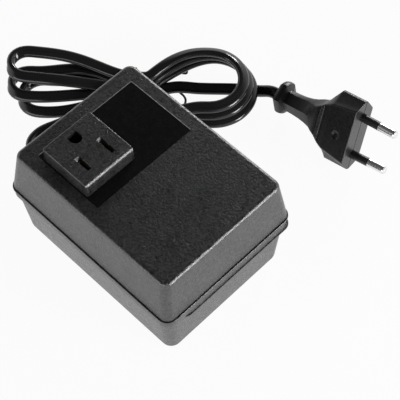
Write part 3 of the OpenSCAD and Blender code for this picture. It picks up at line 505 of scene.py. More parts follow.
def floor_finish(colour):
    """White sweep: plain diffuse that keeps the shadow, lifted to white where the camera or a reflection looks."""
    made, tree, shader = new_finish("studio_floor")
    tone = blend(tree, noise(tree, coords(tree), 40, 2.0), scaled(colour, 0.995), scaled(colour, 1.005))
    fill(shader, Base_Color=tone, Roughness=0.95, Specular_IOR_Level=0.0)
    glow = node(tree, "ShaderNodeEmission", Color=(1, 1, 1, 1), Strength=1.0)
    ray = tree.nodes.new("ShaderNodeLightPath").outputs
    seen = calc(tree, "MAXIMUM", ray["Is Camera Ray"], ray["Is Glossy Ray"])
    seen = calc(tree, "MAXIMUM", seen, ray["Is Transmission Ray"])
    mixed = tree.nodes.new("ShaderNodeMixShader")
    for socket, value in zip(mixed.inputs, (calc(tree, "MULTIPLY", seen, FLOOR_WHITE), shader.outputs[0], glow)):
        put(socket, value)
    put(tree.nodes["Material Output"].inputs["Surface"], mixed.outputs[0])
    return made


# Stage

CAMERA_PLACE = (-191.436, -228.538, 514.162)  # millimetres, fitted to the photograph's edges
CAMERA_TURN = (0.8097986, 1.0181137, -0.0313569)  # yaw, pitch down and roll, in radians
LAMPS_FACE = (0.03, 0.02, 0.03)


class CONVERTER_OT_stage(bpy.types.Operator):
    """Camera at the photograph's angle, white floor and soft studio light"""
    bl_idname = "converter.stage"
    bl_label = "Stage"

    def execute(self, context):
        studio = context.scene.converter_studio
        clear_selection()
        yaw, pitch, roll = CAMERA_TURN
        ahead = Vector((math.cos(yaw) * math.cos(pitch), math.sin(yaw) * math.cos(pitch), -math.sin(pitch)))
        right = Vector((math.sin(yaw), -math.cos(yaw), 0))
        up = right.cross(ahead)
        side = right * math.cos(roll) + up * math.sin(roll)
        top = up * math.cos(roll) - right * math.sin(roll)
        bpy.ops.object.camera_add()
        camera = context.object
        camera.name = "camera"
        turn = Matrix((side, top, -ahead)).transposed().to_4x4()
        camera.matrix_world = Matrix.Translation(Vector(CAMERA_PLACE) * MM) @ turn
        camera.data.lens = studio.lens
        camera.data.sensor_width = 36
        camera.data.shift_x = studio.shift
        camera.data.clip_start = 0.01
        context.scene.camera = camera
        context.scene.view_settings.view_transform = "Standard"

        clear_selection()
        bpy.ops.mesh.primitive_plane_add(size=8, location=(0, 0, -0.00005))
        floor = context.object
        floor.name = "studio_floor"
        floor.data.materials.append(floor_finish(tuple(studio.floor)))

        world = bpy.data.worlds.new("studio_room")
        context.scene.world = world
        world.use_nodes = True
        tree = world.node_tree
        way = node(tree, "ShaderNodeTexCoord", "Generated")
        height = node(tree, "ShaderNodeSeparateXYZ", "Z", Vector=way)
        fill(tree.nodes["Background"], Color=blend(tree, height, (1, 1, 1), (0.07, 0.07, 0.07), 0.3, 0.62))

        for name, spot, wide, power in (
            ("key_light", (0.4, -1.05, 0.26), (0.5, 0.5), studio.key),
            ("side_light", (-1.05, -0.15, 0.24), (1.6, 0.46), studio.side),
            ("rim_light", (1.6, 0.75, 0.5), (0.3, 0.3), studio.rim),
        ):
            clear_selection()
            bpy.ops.object.light_add(type="AREA", location=spot)
            lamp = context.object
            lamp.name = name
            lamp.data.energy = power
            lamp.data.shape = "RECTANGLE"
            lamp.data.size, lamp.data.size_y = wide
            lamp.rotation_euler = (Vector(LAMPS_FACE) - Vector(spot)).to_track_quat("-Z", "Y").to_euler()
        clear_selection()
        return {"FINISHED"}


# Lead. Its route is in millimetres and degrees. The hank lies along its own axis a, from the far folds (a < 0, the
# left of the picture) over the tied waist to the near folds (a > 0), and opens along b. Values in a row are one for
# each loop. A lean of 0 puts the flat lead on edge, and 90 lays it flat.

LOOPS = 3
PER_TURN, ARC = 96, 8  # steps of one loop, and of each round edge of the lead
GROOVE, FLOOR_GAP = 0.06, 0.02  # groove along the lead's flats, and least height above the floor
HANK_PLACE, HANK_TURN = (51.56, 60.82), math.radians(-53)
HANK_LOW, LAYER, FAR_LAYER, FAR_LIFT = 2.1, 4.6, 5.8, 0.75  # lowest layer, steps between layers, lift of the far folds
HANK_LEAN, BACK_LEAN, TAIL_LEAN = 60, 115, 55
# Near folds: middle along b, reach along a, outer radius, how far one nests in the next, and its sag
NEAR_B, NEAR_REACH, NEAR_R, NEST, NEAR_DROP = 2.2, 53, 18.5, 1.6, (0.8, 0.3, 0)
# Far folds: reach, how far each falls short of it, radius, dip in layers, and middle along b
FAR_REACH, FAR_SHORT, FAR_R = 62.2, (0, 0.8, 6), (7.6, 8.3, 9.5)
FAR_DIP, FAN = (0, 0.45, 0), (0.75, -5.45, -8.4)
# Swell of the front and back runs on the far side, then on the near side
BELLY, BACK_BELLY = (-0.5, 0, 1.3), (2.3, 4.4, 1.2)
NEAR_BELLY, NEAR_BACK_BELLY = (8, 4, 3), (2.6, 1.2, 0)
# Waist: half the distance of its runs, middle along b, step between layers, lift and lean
WAIST_HALF, WAIST_B, WAIST_LAYER, WAIST_LIFT, WAIST_LEAN = 2.95, -1.5, 3.45, 0.9, 90
# Tie: closed length to each side, place along a, and how quickly the near runs open after it
TIE_ZONE, TIE_A, SPREAD = 4, -4, 1.5
TIE_ROOM, TIE_WIRE = (0.3, 0.4), 0.55
TIE_ENDS = (
    (
        (50, 63, 0.6), (60, 62, 0.6), (68, 59.5, 0.6), (73.5, 56.7, 0.6),
        (74.7, 54.7, 0.6), (75.6, 53.9, 0.7), (76.4, 54.6, 0.8),
    ),
    (
        (46, 58, 0.6), (56, 56.5, 0.6), (62.5, 52.8, 0.6), (65, 50.2, 0.6),
        (65.2, 47.3, 0.6), (64.9, 44.6, 0.6), (63.4, 42.3, 0.7), (61.4, 41.4, 0.9),
    ),
)
RELIEF_TIP = (-11, 64.95, 10)
LEAD_BEND = (
    (-10.6, 68.3, 10), (-9.2, 70.8, 9.9), (-6.4, 72.8, 9.7), (-2.4, 73.8, 9.2), (2, 73.6, 8.7), (8, 72, 7.9),
    (14, 70.3, 7.5), (21, 69.2, 8), (27.5, 68.6, 9.8), (33, 67.8, 11.8), (37.2, 66.2, 13),
)
TAIL_BEND = (
    (54.5, 54.9, 2.9), (60.26, 53.6, 3), (64.17, 50.9, 3.3), (67, 48.15, 3.3), (71.3, 43.26, 2.7),
    (76.7, 37.6, 2.4), (82.35, 31.6, 2.4), (86, 27.5, 2.4), (88.9, 23.4, 2.6), (90.9, 19.2, 4.1),
)
# Plug: its turns about X, Y and Z, the middle of its face, and the end of its collar behind the face
PLUG_TURN = tuple(math.radians(a) for a in (58, -11, -86))
PLUG_PLACE, COLLAR_BACK = Vector((95.9, -34.9, 16.712)), 44.5
PLUG_LAY = Matrix.Rotation(PLUG_TURN[2], 4, "Z") @ Matrix.Rotation(PLUG_TURN[1], 4, "Y")
PLUG_LAY = PLUG_LAY @ Matrix.Rotation(PLUG_TURN[0], 4, "X")
PLUG_AXIS = PLUG_LAY.to_3x3() @ Vector((1, 0, 0))


def ease(x):
    """Soft step from 0 to 1."""
    c = min(1.0, max(0.0, x))
    return c * c * (3 - 2 * c)


def between(a, b, t):
    """Value at the share t of the way from a to b."""
    return a + (b - a) * t


def near_r(loop):
    """Radius of a near fold."""
    return NEAR_R - NEST * (LOOPS - 1 - loop) + NEAR_DROP[loop]


def near_end(loop):
    """Where a near fold begins, along a."""
    return NEAR_REACH - 1.3 * NEST * (LOOPS - 1 - loop) - near_r(loop)


def far_end(loop):
    """Where a far fold begins, along -a."""
    return FAR_REACH - FAR_SHORT[loop] - FAR_R[loop]


def opening(a, loop):
    """How far the runs have opened at distance a from the waist: at once on the near side, slowly on the far side."""
    if a < 0:
        return ease((-a - TIE_ZONE) / (far_end(loop) - TIE_ZONE))
    x = min(1.0, max(0.0, (a - TIE_ZONE) / (near_end(loop) - TIE_ZONE)))
    return SPREAD * x * (1 - x) ** 2 + ease(x)


def run_across(a, side, loop):
    """Place across the hank of one run."""
    s = opening(a, loop)
    if a > 0:
        belly = (NEAR_BACK_BELLY if side > 0 else NEAR_BELLY)[loop] * 4 * s * (1 - s)
        middle = between(WAIST_B, NEAR_B - NEAR_DROP[loop], s)
        return middle + side * (between(WAIST_HALF, near_r(loop), s) + belly)
    belly = (BACK_BELLY if side > 0 else BELLY)[loop] * 4 * s * (1 - s)
    return between(WAIST_B, FAN[loop], s) + side * (between(WAIST_HALF, FAR_R[loop], s) + belly)


def hank_point(a, b, layer, loop):
    """Point at a along the hank and b across it, in a layer counted from below."""
    c, s = math.cos(HANK_TURN), math.sin(HANK_TURN)
    wide = opening(a, loop)
    step, raised = (LAYER, 0) if a > 0 else (FAR_LAYER, FAR_LIFT * wide)
    return Vector((
        HANK_PLACE[0] + a * c - b * s,
        HANK_PLACE[1] + a * s + b * c,
        HANK_LOW + raised + layer * between(WAIST_LAYER, step, wide) + WAIST_LIFT * (1 - wide),
    ))


def hank_at(turns):
    """Point of the hank after a number of turns."""
    loop = min(int(turns), LOOPS - 1)
    p = 8 * (turns - loop)
    upper = LOOPS - loop
    near, far = near_end(loop), far_end(loop)
    if p < 1:
        return hank_point(near * p, run_across(near * p, -1, loop), upper, loop)
    if p < 3:
        f = math.radians(90 * (p - 2))
        b = NEAR_B - NEAR_DROP[loop] + near_r(loop) * math.sin(f)
        return hank_point(near + near_r(loop) * math.cos(f), b, upper, loop)
    if p < 5:
        f = (p - 3) / 2
        a = between(near, -far, f)
        return hank_point(a, run_across(a, 1, loop), upper - (1 + FAR_DIP[loop]) * ease(f), loop)
    if p < 7:
        f = math.radians(90 * (p - 4))
        layer = upper - 1 - FAR_DIP[loop] * (1 - ease((p - 5) / 2))
        return hank_point(-far + FAR_R[loop] * math.cos(f), FAN[loop] + FAR_R[loop] * math.sin(f), layer, loop)
    a = -far * (8 - p)
    return hank_point(a, run_across(a, -1, loop), upper - 1, loop)


def lean_at(turns):
    """Lean of the flat lead there: both runs of the left end face up towards the front, its bends stand on edge."""
    loop = min(int(turns), LOOPS - 1)
    p = 8 * (turns - loop)
    near, far = near_end(loop), far_end(loop)
    if p < 3:
        return 180 * loop + between(WAIST_LEAN, HANK_LEAN, opening(near * p, loop))
    if p < 5:
        a = between(near, -far, (p - 3) / 2)
        return 180 * loop + between(WAIST_LEAN, HANK_LEAN if a > 0 else BACK_LEAN, opening(a, loop))
    if p < 7:
        return 180 * loop + between(BACK_LEAN, HANK_LEAN + 180, ease((p - 5) / 2))
    return 180 * (loop + 1) + between(WAIST_LEAN, HANK_LEAN, opening(-far * (8 - p), loop))


def rounded_route(points, per=8):
    """Centripetal curve through the points."""
    def mix(a, b, start, end):
        return a * ((end - t) / (end - start)) + b * ((t - start) / (end - start))

    pts = [Vector(p) for p in points]
    pts = [2 * pts[0] - pts[1]] + pts + [2 * pts[-1] - pts[-2]]
    route = []
    for i in range(1, len(pts) - 2):
        p0, p1, p2, p3 = pts[i - 1:i + 3]
        t0 = 0.0
        t1 = t0 + (p1 - p0).length ** 0.5
        t2 = t1 + (p2 - p1).length ** 0.5
        t3 = t2 + (p3 - p2).length ** 0.5
        for k in range(per):
            t = between(t1, t2, k / per)
            a1, a2, a3 = mix(p0, p1, t0, t1), mix(p1, p2, t1, t2), mix(p2, p3, t2, t3)
            route.append(mix(mix(a1, a2, t0, t2), mix(a2, a3, t1, t3), t1, t2))
    route.append(pts[-2].copy())
    return route


def lead_route(width, thick):
    """The whole lead as points and leans, in millimetres, from the strain relief to the collar."""
    forward = Vector((math.cos(HANK_TURN), math.sin(HANK_TURN), 0))
    start = hank_point(-TIE_ZONE, WAIST_B - WAIST_HALF, LOOPS, 0)
    end = hank_point(2, WAIST_B - WAIST_HALF, 0, LOOPS - 1)
    tip = Vector(RELIEF_TIP)
    collar = PLUG_PLACE - COLLAR_BACK * PLUG_AXIS
    lead = rounded_route(
        [tip - Vector((0, 2, 0)), tip + Vector((0, thick / 2, 0)), *LEAD_BEND, start - thick * forward, start]
    )
    turns = [i / PER_TURN for i in range(PER_TURN * LOOPS)] + [LOOPS - 1e-9]
    tail = rounded_route([end, *TAIL_BEND, collar - width * PLUG_AXIS, collar + 1.5 * PLUG_AXIS])
    points = lead[:-1] + [hank_at(t) for t in turns] + tail
    leans = [WAIST_LEAN * ease(i / (len(lead) - 1)) for i in range(len(lead) - 1)]
    leans += [lean_at(t) for t in turns]
    leans += [180 * LOOPS + between(WAIST_LEAN, TAIL_LEAN, ease(4 * i / (len(tail) - 1))) for i in range(len(tail))]
    return even(points, leans, 1.5)


def even(points, leans, step):
    """The route again with even steps, its small corners rounded."""
    far = [0.0]
    for a, b in zip(points, points[1:]):
        far.append(far[-1] + (b - a).length)
    count = int(far[-1] / step)
    out, lean, j = [], [], 0
    for i in range(count + 1):
        s = far[-1] * i / count
        while j < len(far) - 2 and far[j + 1] < s:
            j += 1
        t = (s - far[j]) / max(1e-9, far[j + 1] - far[j])
        out.append(points[j].lerp(points[j + 1], min(1.0, t)))
        lean.append(between(leans[j], leans[j + 1], min(1.0, t)))
    for _ in range(2):
        eased = [(out[i - 1] + 2 * out[i] + out[i + 1]) / 4 for i in range(2, len(out) - 2)]
        out = out[:2] + eased + out[-2:]
    return out, lean


class CONVERTER_OT_lead(bpy.types.Operator):
    """The flat lead in one piece: out of the case, three tied loops, and on to the plug"""
    bl_idname = "converter.lead"
    bl_label = "Lead"

    def execute(self, context):
        cord = context.scene.converter_cord
        width, thick = cord.width / MM, cord.thick / MM
        route, leans = lead_route(width, thick)
        half, r = (width - thick) / 2, thick / 2
        outline = []
        for end in (1, -1):
            for k in range(ARC + 1):
                a = math.radians(180 * k / ARC)
                outline.append((end * math.cos(a) * r, end * (half + math.sin(a) * r)))
            outline.append((-end * (r - GROOVE), 0.0))
        mesh = bmesh.new()
        rings, far = [], 0.0
        for i, p in enumerate(route):
            t = (route[min(i + 1, len(route) - 1)] - route[max(i - 1, 0)]).normalized()
            level = t.cross(Vector((0, 0, 1))).normalized()
            plumb = level.cross(t)
            lean = math.radians(leans[i])
            side = level * math.cos(lean) + plumb * math.sin(lean)
            up = plumb * math.cos(lean) - level * math.sin(lean)
            low = min((side * x + up * y).z for x, y in outline)
            p.z = max(p.z, FLOOR_GAP - low)
            rings.append([mesh.verts.new((p + side * x + up * y) * MM) for x, y in outline])
        layer = mesh.loops.layers.uv.new("lead_map")
        n = len(outline)
        for i in range(len(rings) - 1):
            step = (route[i + 1] - route[i]).length * MM
            for j in range(n):
                k = (j + 1) % n
                face = mesh.faces.new((rings[i][j], rings[i][k], rings[i + 1][k], rings[i + 1][j]))
                face.smooth = True
                for loop, (u, v) in zip(face.loops, ((far, j), (far, j + 1), (far + step, j + 1), (far + step, j))):
                    loop[layer].uv = (u, v / n)
            far += step
        mesh.faces.new(list(reversed(rings[0])))
        mesh.faces.new(rings[-1])
        bmesh.ops.recalc_face_normals(mesh, faces=mesh.faces[:])
        data = bpy.data.meshes.new("flat_lead")
        mesh.to_mesh(data)
        mesh.free()
        obj = bpy.data.objects.new("flat_lead", data)
        context.scene.collection.objects.link(obj)
        hand_over(obj, vinyl_finish(tuple(cord.colour)), "cord_vinyl", "cord_lead", "cord_hank", "cord_tail")
        obj["route"] = [c * MM for p in route for c in p]
        obj["length"] = far
        return {"FINISHED"}


def bent_wire(name, points, r):
    """Thin round wire through points in millimetres, as a mesh."""
    clear_selection()
    line = bpy.data.curves.new(name, "CURVE")
    line.dimensions = "3D"
    line.bevel_depth = r * MM
    line.bevel_resolution = 3
    line.use_fill_caps = True
    spline = line.splines.new("NURBS")
    spline.points.add(len(points) - 1)
    for knot, p in zip(spline.points, points):
        knot.co = (*(c * MM for c in p), 1)
    spline.order_u = 3
    spline.use_endpoint_u = True
    obj = bpy.data.objects.new(name, line)
    bpy.context.scene.collection.objects.link(obj)
    only(obj)
    bpy.ops.object.convert(target="MESH")
    return bpy.context.object


class CONVERTER_OT_tie(bpy.types.Operator):
    """Tie round the waist of the hank, with its two bent ends"""
    bl_idname = "converter.tie"
    bl_label = "Tie"

    def execute(self, context):
        cord = context.scene.converter_cord
        w, t = cord.tie_w, cord.tie_t
        width = cord.width + (2 * WAIST_HALF + TIE_ROOM[0]) * MM
        height = cord.thick + (LOOPS * WAIST_LAYER + TIE_ROOM[1]) * MM
        middle = hank_point(TIE_A, WAIST_B, LOOPS / 2, 0) * MM
        band = block("cord_tie_band", width + 2 * t, height + 2 * t, -w / 2, w / 2, 2 * MM, steps=6)
        combine(band, block("tie_inside", width, height, -w, w, 1.3 * MM, steps=6))
        ease_edges(band, 0.2 * MM)
        settle(band, placed(middle, HANK_TURN + math.pi / 2, "Z") @ Matrix.Rotation(math.pi / 2, 4, "X"))
        gather([band] + [bent_wire("tie_end", points, TIE_WIRE) for points in TIE_ENDS])
        smooth(band)
        finish = grained("tie_vinyl", (0.010, 0.010, 0.011), (0.35, 0.5), 1200, 0.00002)
        hand_over(band, finish, "tie_plastic", "cord_tie")
        return {"FINISHED"}


# Case

POST_PLACES = tuple((x * 26.85 * MM, y * 39.35 * MM) for x in (-1, 1) for y in (-1, 1))
POST_D, POST_MEET = 7.5 * MM, 26 * MM  # screw posts, and the height where upper and lower ones meet
PILOT_D, SHANK_D, HEAD_D, HEAD_SEAT = 3.1 * MM, 3.6 * MM, 5.8 * MM, 22 * MM  # holes of the case screws
TONGUE, FIT, PAST = 2.6 * MM, 0.2 * MM, 2 * MM  # tongue under the seam, play of a seat, overrun of a cutter
ROOM_CORNER = 3.1 * MM
GLAND = (-11 * MM, 45.25 * MM, 10 * MM)  # where the lead leaves the case


def post_set(name, low, high, d):
    """Four posts, one at each case screw."""
    return [post(name, x, y, low, high, d) for x, y in POST_PLACES]


def gland_disc(name, low, high, d):
    """Disc round the way of the lead, lying along the case."""
    x, y, z = GLAND
    return settle(post(name, x, -z, low, high, d), placed((0, y, 0), math.radians(-90), "X"))


class CONVERTER_OT_upper_case(bpy.types.Operator):
    """Upper shell: tapered, soft top edge, tongue under the seam, window for the outlet and seat for the film"""
    bl_idname = "converter.upper_case"
    bl_label = "Upper case"

    def execute(self, context):
        case, outlet = context.scene.converter_case, context.scene.converter_outlet
        shell = plate("upper_case", case.seam_w, case.seam_l, case.seam_z, case.corner, 10)
        lift(case.height - case.seam_z, (case.top_w / case.seam_w, case.top_l / case.seam_l))
        soften(shell, lambda p: p.z > case.height - 1e-5, case.top_edge, 5)
        edit(shell, lambda p: p.z < case.seam_z + 1e-5, "FACE")
        bpy.ops.mesh.inset(thickness=case.wall / 2 + 0.15 * MM)
        lift(-TONGUE)
        closed(shell)
        inside = (case.seam_w - 2 * case.wall, case.seam_l - 2 * case.wall)
        ceiling = case.height - case.wall
        room = plate("upper_room", *inside, case.seam_z - 6 * MM, ROOM_CORNER, 6)
        lift(6 * MM)
        above = (case.top_w - 2 * case.wall, case.top_l - 2 * case.wall)
        lift(ceiling - case.seam_z, (above[0] / inside[0], above[1] / inside[1]))
        combine(shell, closed(room))
        combine(shell, gather(post_set("case_post", POST_MEET, ceiling + 0.5 * MM, POST_D)), "UNION")
        cuts = post_set("case_hole", POST_MEET - 1 * MM, 35.5 * MM, PILOT_D)
        hole = outlet.side + FIT
        cuts.append(block("outlet_window", hole, hole, ceiling - 1 * MM, case.height + PAST, outlet.corner,
                          (outlet.centre_x, outlet.centre_y)))
        combine(shell, gather(cuts))
        combine(shell, block("film_seat", outlet.film_w + FIT, outlet.film_l + FIT, case.height - outlet.film_t,
                             case.height + PAST, 0, film_middle(case, outlet)))
        smooth(shell, 30)
        hand_over(shell, case_finish(context), "case_plastic", "upper_shell")
        return {"FINISHED"}


def film_middle(case, outlet):
    """Middle of the label film, seen from above."""
    return (0, case.top_l / 2 - outlet.film_back - outlet.film_l / 2)


class CONVERTER_OT_lower_case(bpy.types.Operator):
    """Lower shell: rounded base, proud band, lip and front rib under the seam, screw recesses, pad of the lead"""
    bl_idname = "converter.lower_case"
    bl_label = "Lower case"

    def execute(self, context):
        case = context.scene.converter_case
        band = (case.seam_w + 2 * case.band_proud, case.seam_l + 2 * case.band_proud)
        ledge = (band[0] - 2 * case.band_step, band[1] - 2 * case.band_step)
        band_z, rim = case.seam_z - case.band_h, case.seam_z - case.gap
        slope, lip_slope = 0.35 * MM, 0.3 * MM
        shell = plate("lower_case", case.base_w, case.base_l, 0, case.corner + 0.6 * MM, 10)
        lift(band_z, (ledge[0] / case.base_w, ledge[1] / case.base_l))
        lift(slope, (band[0] / ledge[0], band[1] / ledge[1]))
        lift(rim - band_z - slope - case.lip_h)
        lift(lip_slope, tuple(1 + 2 * case.lip_out / side for side in band))
        lift(case.lip_h - lip_slope)
        soften(shell, lambda p: p.z < 1e-5, case.base_edge, 7)
        soften(shell, lambda p: p.z > rim - 1e-5, 0.32 * MM, 3)
        soften(shell, lambda p: abs(p.z - band_z - slope) < 1e-5, 0.3 * MM, 3)
        closed(shell)
        start, deep, rib_h, below = 9 * MM, 9 * MM, 0.7 * MM, 2 * MM
        wide = band[0] + case.rib_out - start
        middle = ((case.rib_out + start) / 2, deep / 2 - band[1] / 2 - case.rib_out)
        rib = plate("front_rib", wide, deep, band_z - below, 4.4 * MM, 8, middle)
        lift(rib_h)
        lift(0.1 * MM, tuple(1 - 2.1 * case.rib_out / side for side in (wide, deep)), middle)
        lift(below)
        combine(shell, closed(rib), "UNION")
        floor, edge, flare = 2.6 * MM, 2 * MM, 1.02
        inside = (case.seam_w - 2 * case.wall, case.seam_l - 2 * case.wall)
        low = (case.base_w - 2 * case.wall, case.base_l - 2 * case.wall)
        room = plate("lower_room", low[0] - edge, low[1] - edge, floor, 3.7 * MM, 6)
        lift(floor, (low[0] / (low[0] - edge), flare))
        lift(case.seam_z + edge - 2 * floor, (inside[0] / low[0], inside[1] / ((low[1] - edge) * flare)))
        combine(shell, closed(room))
        combine(shell, block("tongue_seat", case.seam_w - case.wall, case.seam_l - case.wall, case.seam_z - TONGUE,
                             case.seam_z + PAST, ROOM_CORNER))
        combine(shell, gather(post_set("case_post", floor - 0.5 * MM, POST_MEET, POST_D)), "UNION")
        combine(shell, gather(post_set("screw_recess", -1 * MM, HEAD_SEAT, HEAD_D)))
        combine(shell, gather(post_set("screw_hole", HEAD_SEAT - 1 * MM, POST_MEET + 1 * MM, SHANK_D)))
        combine(shell, gland_disc("lead_pad", -1.7 * MM, 1.7 * MM, 14.8 * MM), "UNION")
        combine(shell, gland_disc("lead_hole", -5 * MM, 5 * MM, 9 * MM))
        smooth(shell, 30)
        hand_over(shell, case_finish(context), "case_plastic", "lower_shell")
        return {"FINISHED"}


class CONVERTER_OT_outlet(bpy.types.Operator):
    """Raised outlet block with its two blade slots, earth hole and contact pockets"""
    bl_idname = "converter.outlet"
    bl_label = "Outlet block"

    def execute(self, context):
        case, outlet = context.scene.converter_case, context.scene.converter_outlet
        middle = (outlet.centre_x, outlet.centre_y)
        top, low = case.height + outlet.rise, case.height - outlet.depth
        body = plate("outlet_moulding", outlet.side, outlet.side, low, outlet.corner, 6, middle)
        lift(outlet.depth)
        flange, taper, entry_d = 2 * MM, 0.6 * MM, 1.5 * MM
        draft = (outlet.side - taper) / outlet.side
        lift(outlet.rise, (draft, draft), middle)
        soften(body, lambda p: p.z > top - 1e-5, outlet.edge, 4)
        closed(body)
        r, front = outlet.front_edge, outlet.centre_y - draft * outlet.side / 2 - 0.03 * MM
        wide = outlet.side + 2 * flange
        bar = block("front_edge_bar", wide, 2 * r, top - r, top + r, 0, (outlet.centre_x, front))
        rod = post("front_edge_rod", 0, 0, -outlet.side, outlet.side, 2 * r, 64)
        combine(bar, settle(rod, placed((outlet.centre_x, front + r, top - r), math.pi / 2, "Y")))
        combine(body, bar)
        ceiling = case.height - case.wall
        combine(body, block("outlet_flange", wide, wide, ceiling - flange, ceiling, 2 * MM, middle), "UNION")
        line = outlet.centre_y - outlet.slot_back
        half = outlet.slot_pitch / 2
        slots = ((outlet.centre_x - half, outlet.line_l), (outlet.centre_x + half, outlet.neutral_l))
        cuts, entries = [], []
        for x, l in slots:
            cuts.append(block("blade_slot", outlet.slot_w, l, top - 3 * MM, top + 1 * MM, 0, (x, line)))
            entry = block("slot_entry", outlet.slot_w + 0.5 * MM, entry_d, -entry_d / 2, entry_d / 2)
            entries.append(settle(entry, placed((x, line + l / 2, top), math.radians(45), "X")))
        earth = line + outlet.earth_off
        hole = plate("earth_hole", outlet.earth_d, outlet.earth_d, low - 1 * MM, 0, 1, (outlet.centre_x, earth))
        edit(hole, lambda p: p.y < earth)
        bpy.ops.mesh.bevel(offset=outlet.earth_d / 2 - 1e-5, segments=10, affect="VERTICES")
        bpy.ops.mesh.select_all(action="SELECT")
        lift(top - low + 2 * MM)
        cuts.append(closed(hole))
        combine(body, gather(cuts))
        combine(body, gather(entries))
        combine(body, gather([
            block("contact_pocket", 3.3 * MM, l + 0.9 * MM, low - 1 * MM, top - 2 * MM, 0, (x, line + 0.3 * MM))
            for x, l in slots
        ]))
        ease_edges(body, 0.15 * MM, 50, 2)
        smooth(body, 30)
        hand_over(body, case_finish(context), "case_plastic", "outlet_block")
        return {"FINISHED"}


class CONVERTER_OT_film(bpy.types.Operator):
    """Smooth black film on the top, round the outlet, with nothing printed on it"""
    bl_idname = "converter.film"
    bl_label = "Label film"

    def execute(self, context):
        case, outlet = context.scene.converter_case, context.scene.converter_outlet
        middle = film_middle(case, outlet)
        film = block("label_skin", outlet.film_w, outlet.film_l, case.height - outlet.film_t, case.height, 0.6 * MM,
                     middle, 4)
        side = outlet.side + 0.3 * MM
        combine(film, block("film_window", side, side, case.height - PAST, case.height + PAST, outlet.corner,
                            (outlet.centre_x, outlet.centre_y)))
        ease_edges(film, 0.07 * MM)
        smooth(film, 30)
        finish = film_finish(tuple(outlet.film_colour), middle, (outlet.film_w / 2, outlet.film_l / 2))
        hand_over(film, finish, "label_film", "label_film")
        return {"FINISHED"}


# Plug

# Sections of the head: distance behind the face, half thickness, half widths at the flats and at the tips
HEAD_SECTIONS = (
    (12.4, 6.5, 12.95, 17.2), (13.6, 6.4, 12.5, 15.6), (14.9, 6.3, 11.75, 13.9), (15.6, 6.25, 11.3, 13.0),
    (16.0, 6.35, 11.0, 12.45), (16.4, 6.0, 10.7, 11.95), (16.8, 6.25, 10.4, 11.4), (17.2, 5.9, 10.1, 10.9),
    (17.6, 6.1, 9.75, 10.4), (18.0, 5.75, 9.4, 10.0), (18.4, 5.95, 9.1, 9.7), (18.8, 5.6, 8.8, 9.5),
    (19.4, 5.7, 8.4, 9.3), (21.5, 5.45, 7.1, 8.6),
)
# Sections of the round neck: distance behind the face, half width, half thickness
NECK_SECTIONS = (
    (24.3, 7.3, 5.2), (27.5, 6.2, 5.05), (31, 5.5, 5.0), (35, 5.1, 5.0), (38.6, 5.0, 5.0), (39.5, 5.2, 5.2),
    (39.8, 6.1, 6.1),
)
# Sections of the collar: distance behind the face, and how much less than the collar's radius
COLLAR_SECTIONS = ((40.4, 0.35), (41.2, 0.05), (42.6, 0), (43.6, 0.3), (44.2, 1.0), (COLLAR_BACK, 2.1))
DIMPLE_R, DIMPLE_OUT, DIMPLE_AT = 3.25 * MM, 2.1 * MM, (-1.5 * MM, -6.9 * MM)
PIN_OFF, PIN_LEAN, PIN_HOLE = 9.3 * MM, math.radians(1.4), 2.9 * MM


def pick(obj, index):
    """In edit mode, selects only the vertices with these numbers."""
    mesh = bmesh.from_edit_mesh(obj.data)
    mesh.verts.ensure_lookup_table()
    for v in mesh.verts:
        v.select = False
    for i in index:
        mesh.verts[i].select = True
    mesh.select_flush_mode()
    bmesh.update_edit_mesh(obj.data)


def shape_section(obj, half_t, edge, tip, z):
    """Brings the selected section to its half thickness, and its corners and tips to their half widths."""
    mesh = bmesh.from_edit_mesh(obj.data)
    now = max(abs(v.co.x) for v in mesh.verts if v.select)
    resize((half_t / now, 1, 1), (0, 0, z))
    mesh = bmesh.from_edit_mesh(obj.data)
    index = [v.index for v in mesh.verts if v.select]
    for goal, near in ((edge, False), (tip, True)):
        mesh = bmesh.from_edit_mesh(obj.data)
        mesh.verts.ensure_lookup_table()
        group = [i for i in index if (abs(mesh.verts[i].co.x) < 0.42 * half_t) == near]
        widest = max(abs(mesh.verts[i].co.y) for i in group)
        pick(obj, group)
        resize((1, goal / widest, 1), (0, 0, z))
    pick(obj, index)


def round_section(obj, half_w, half_t, z):
    """Rounds the selected section and brings it to its half width and thickness."""
    bpy.ops.transform.tosphere(value=1.0, center_override=(0, 0, z))
    ring = [v for v in bmesh.from_edit_mesh(obj.data).verts if v.select]
    x, y = max(abs(v.co.x) for v in ring), max(abs(v.co.y) for v in ring)
    resize((half_t / x, half_w / y, 1), (0, 0, z))


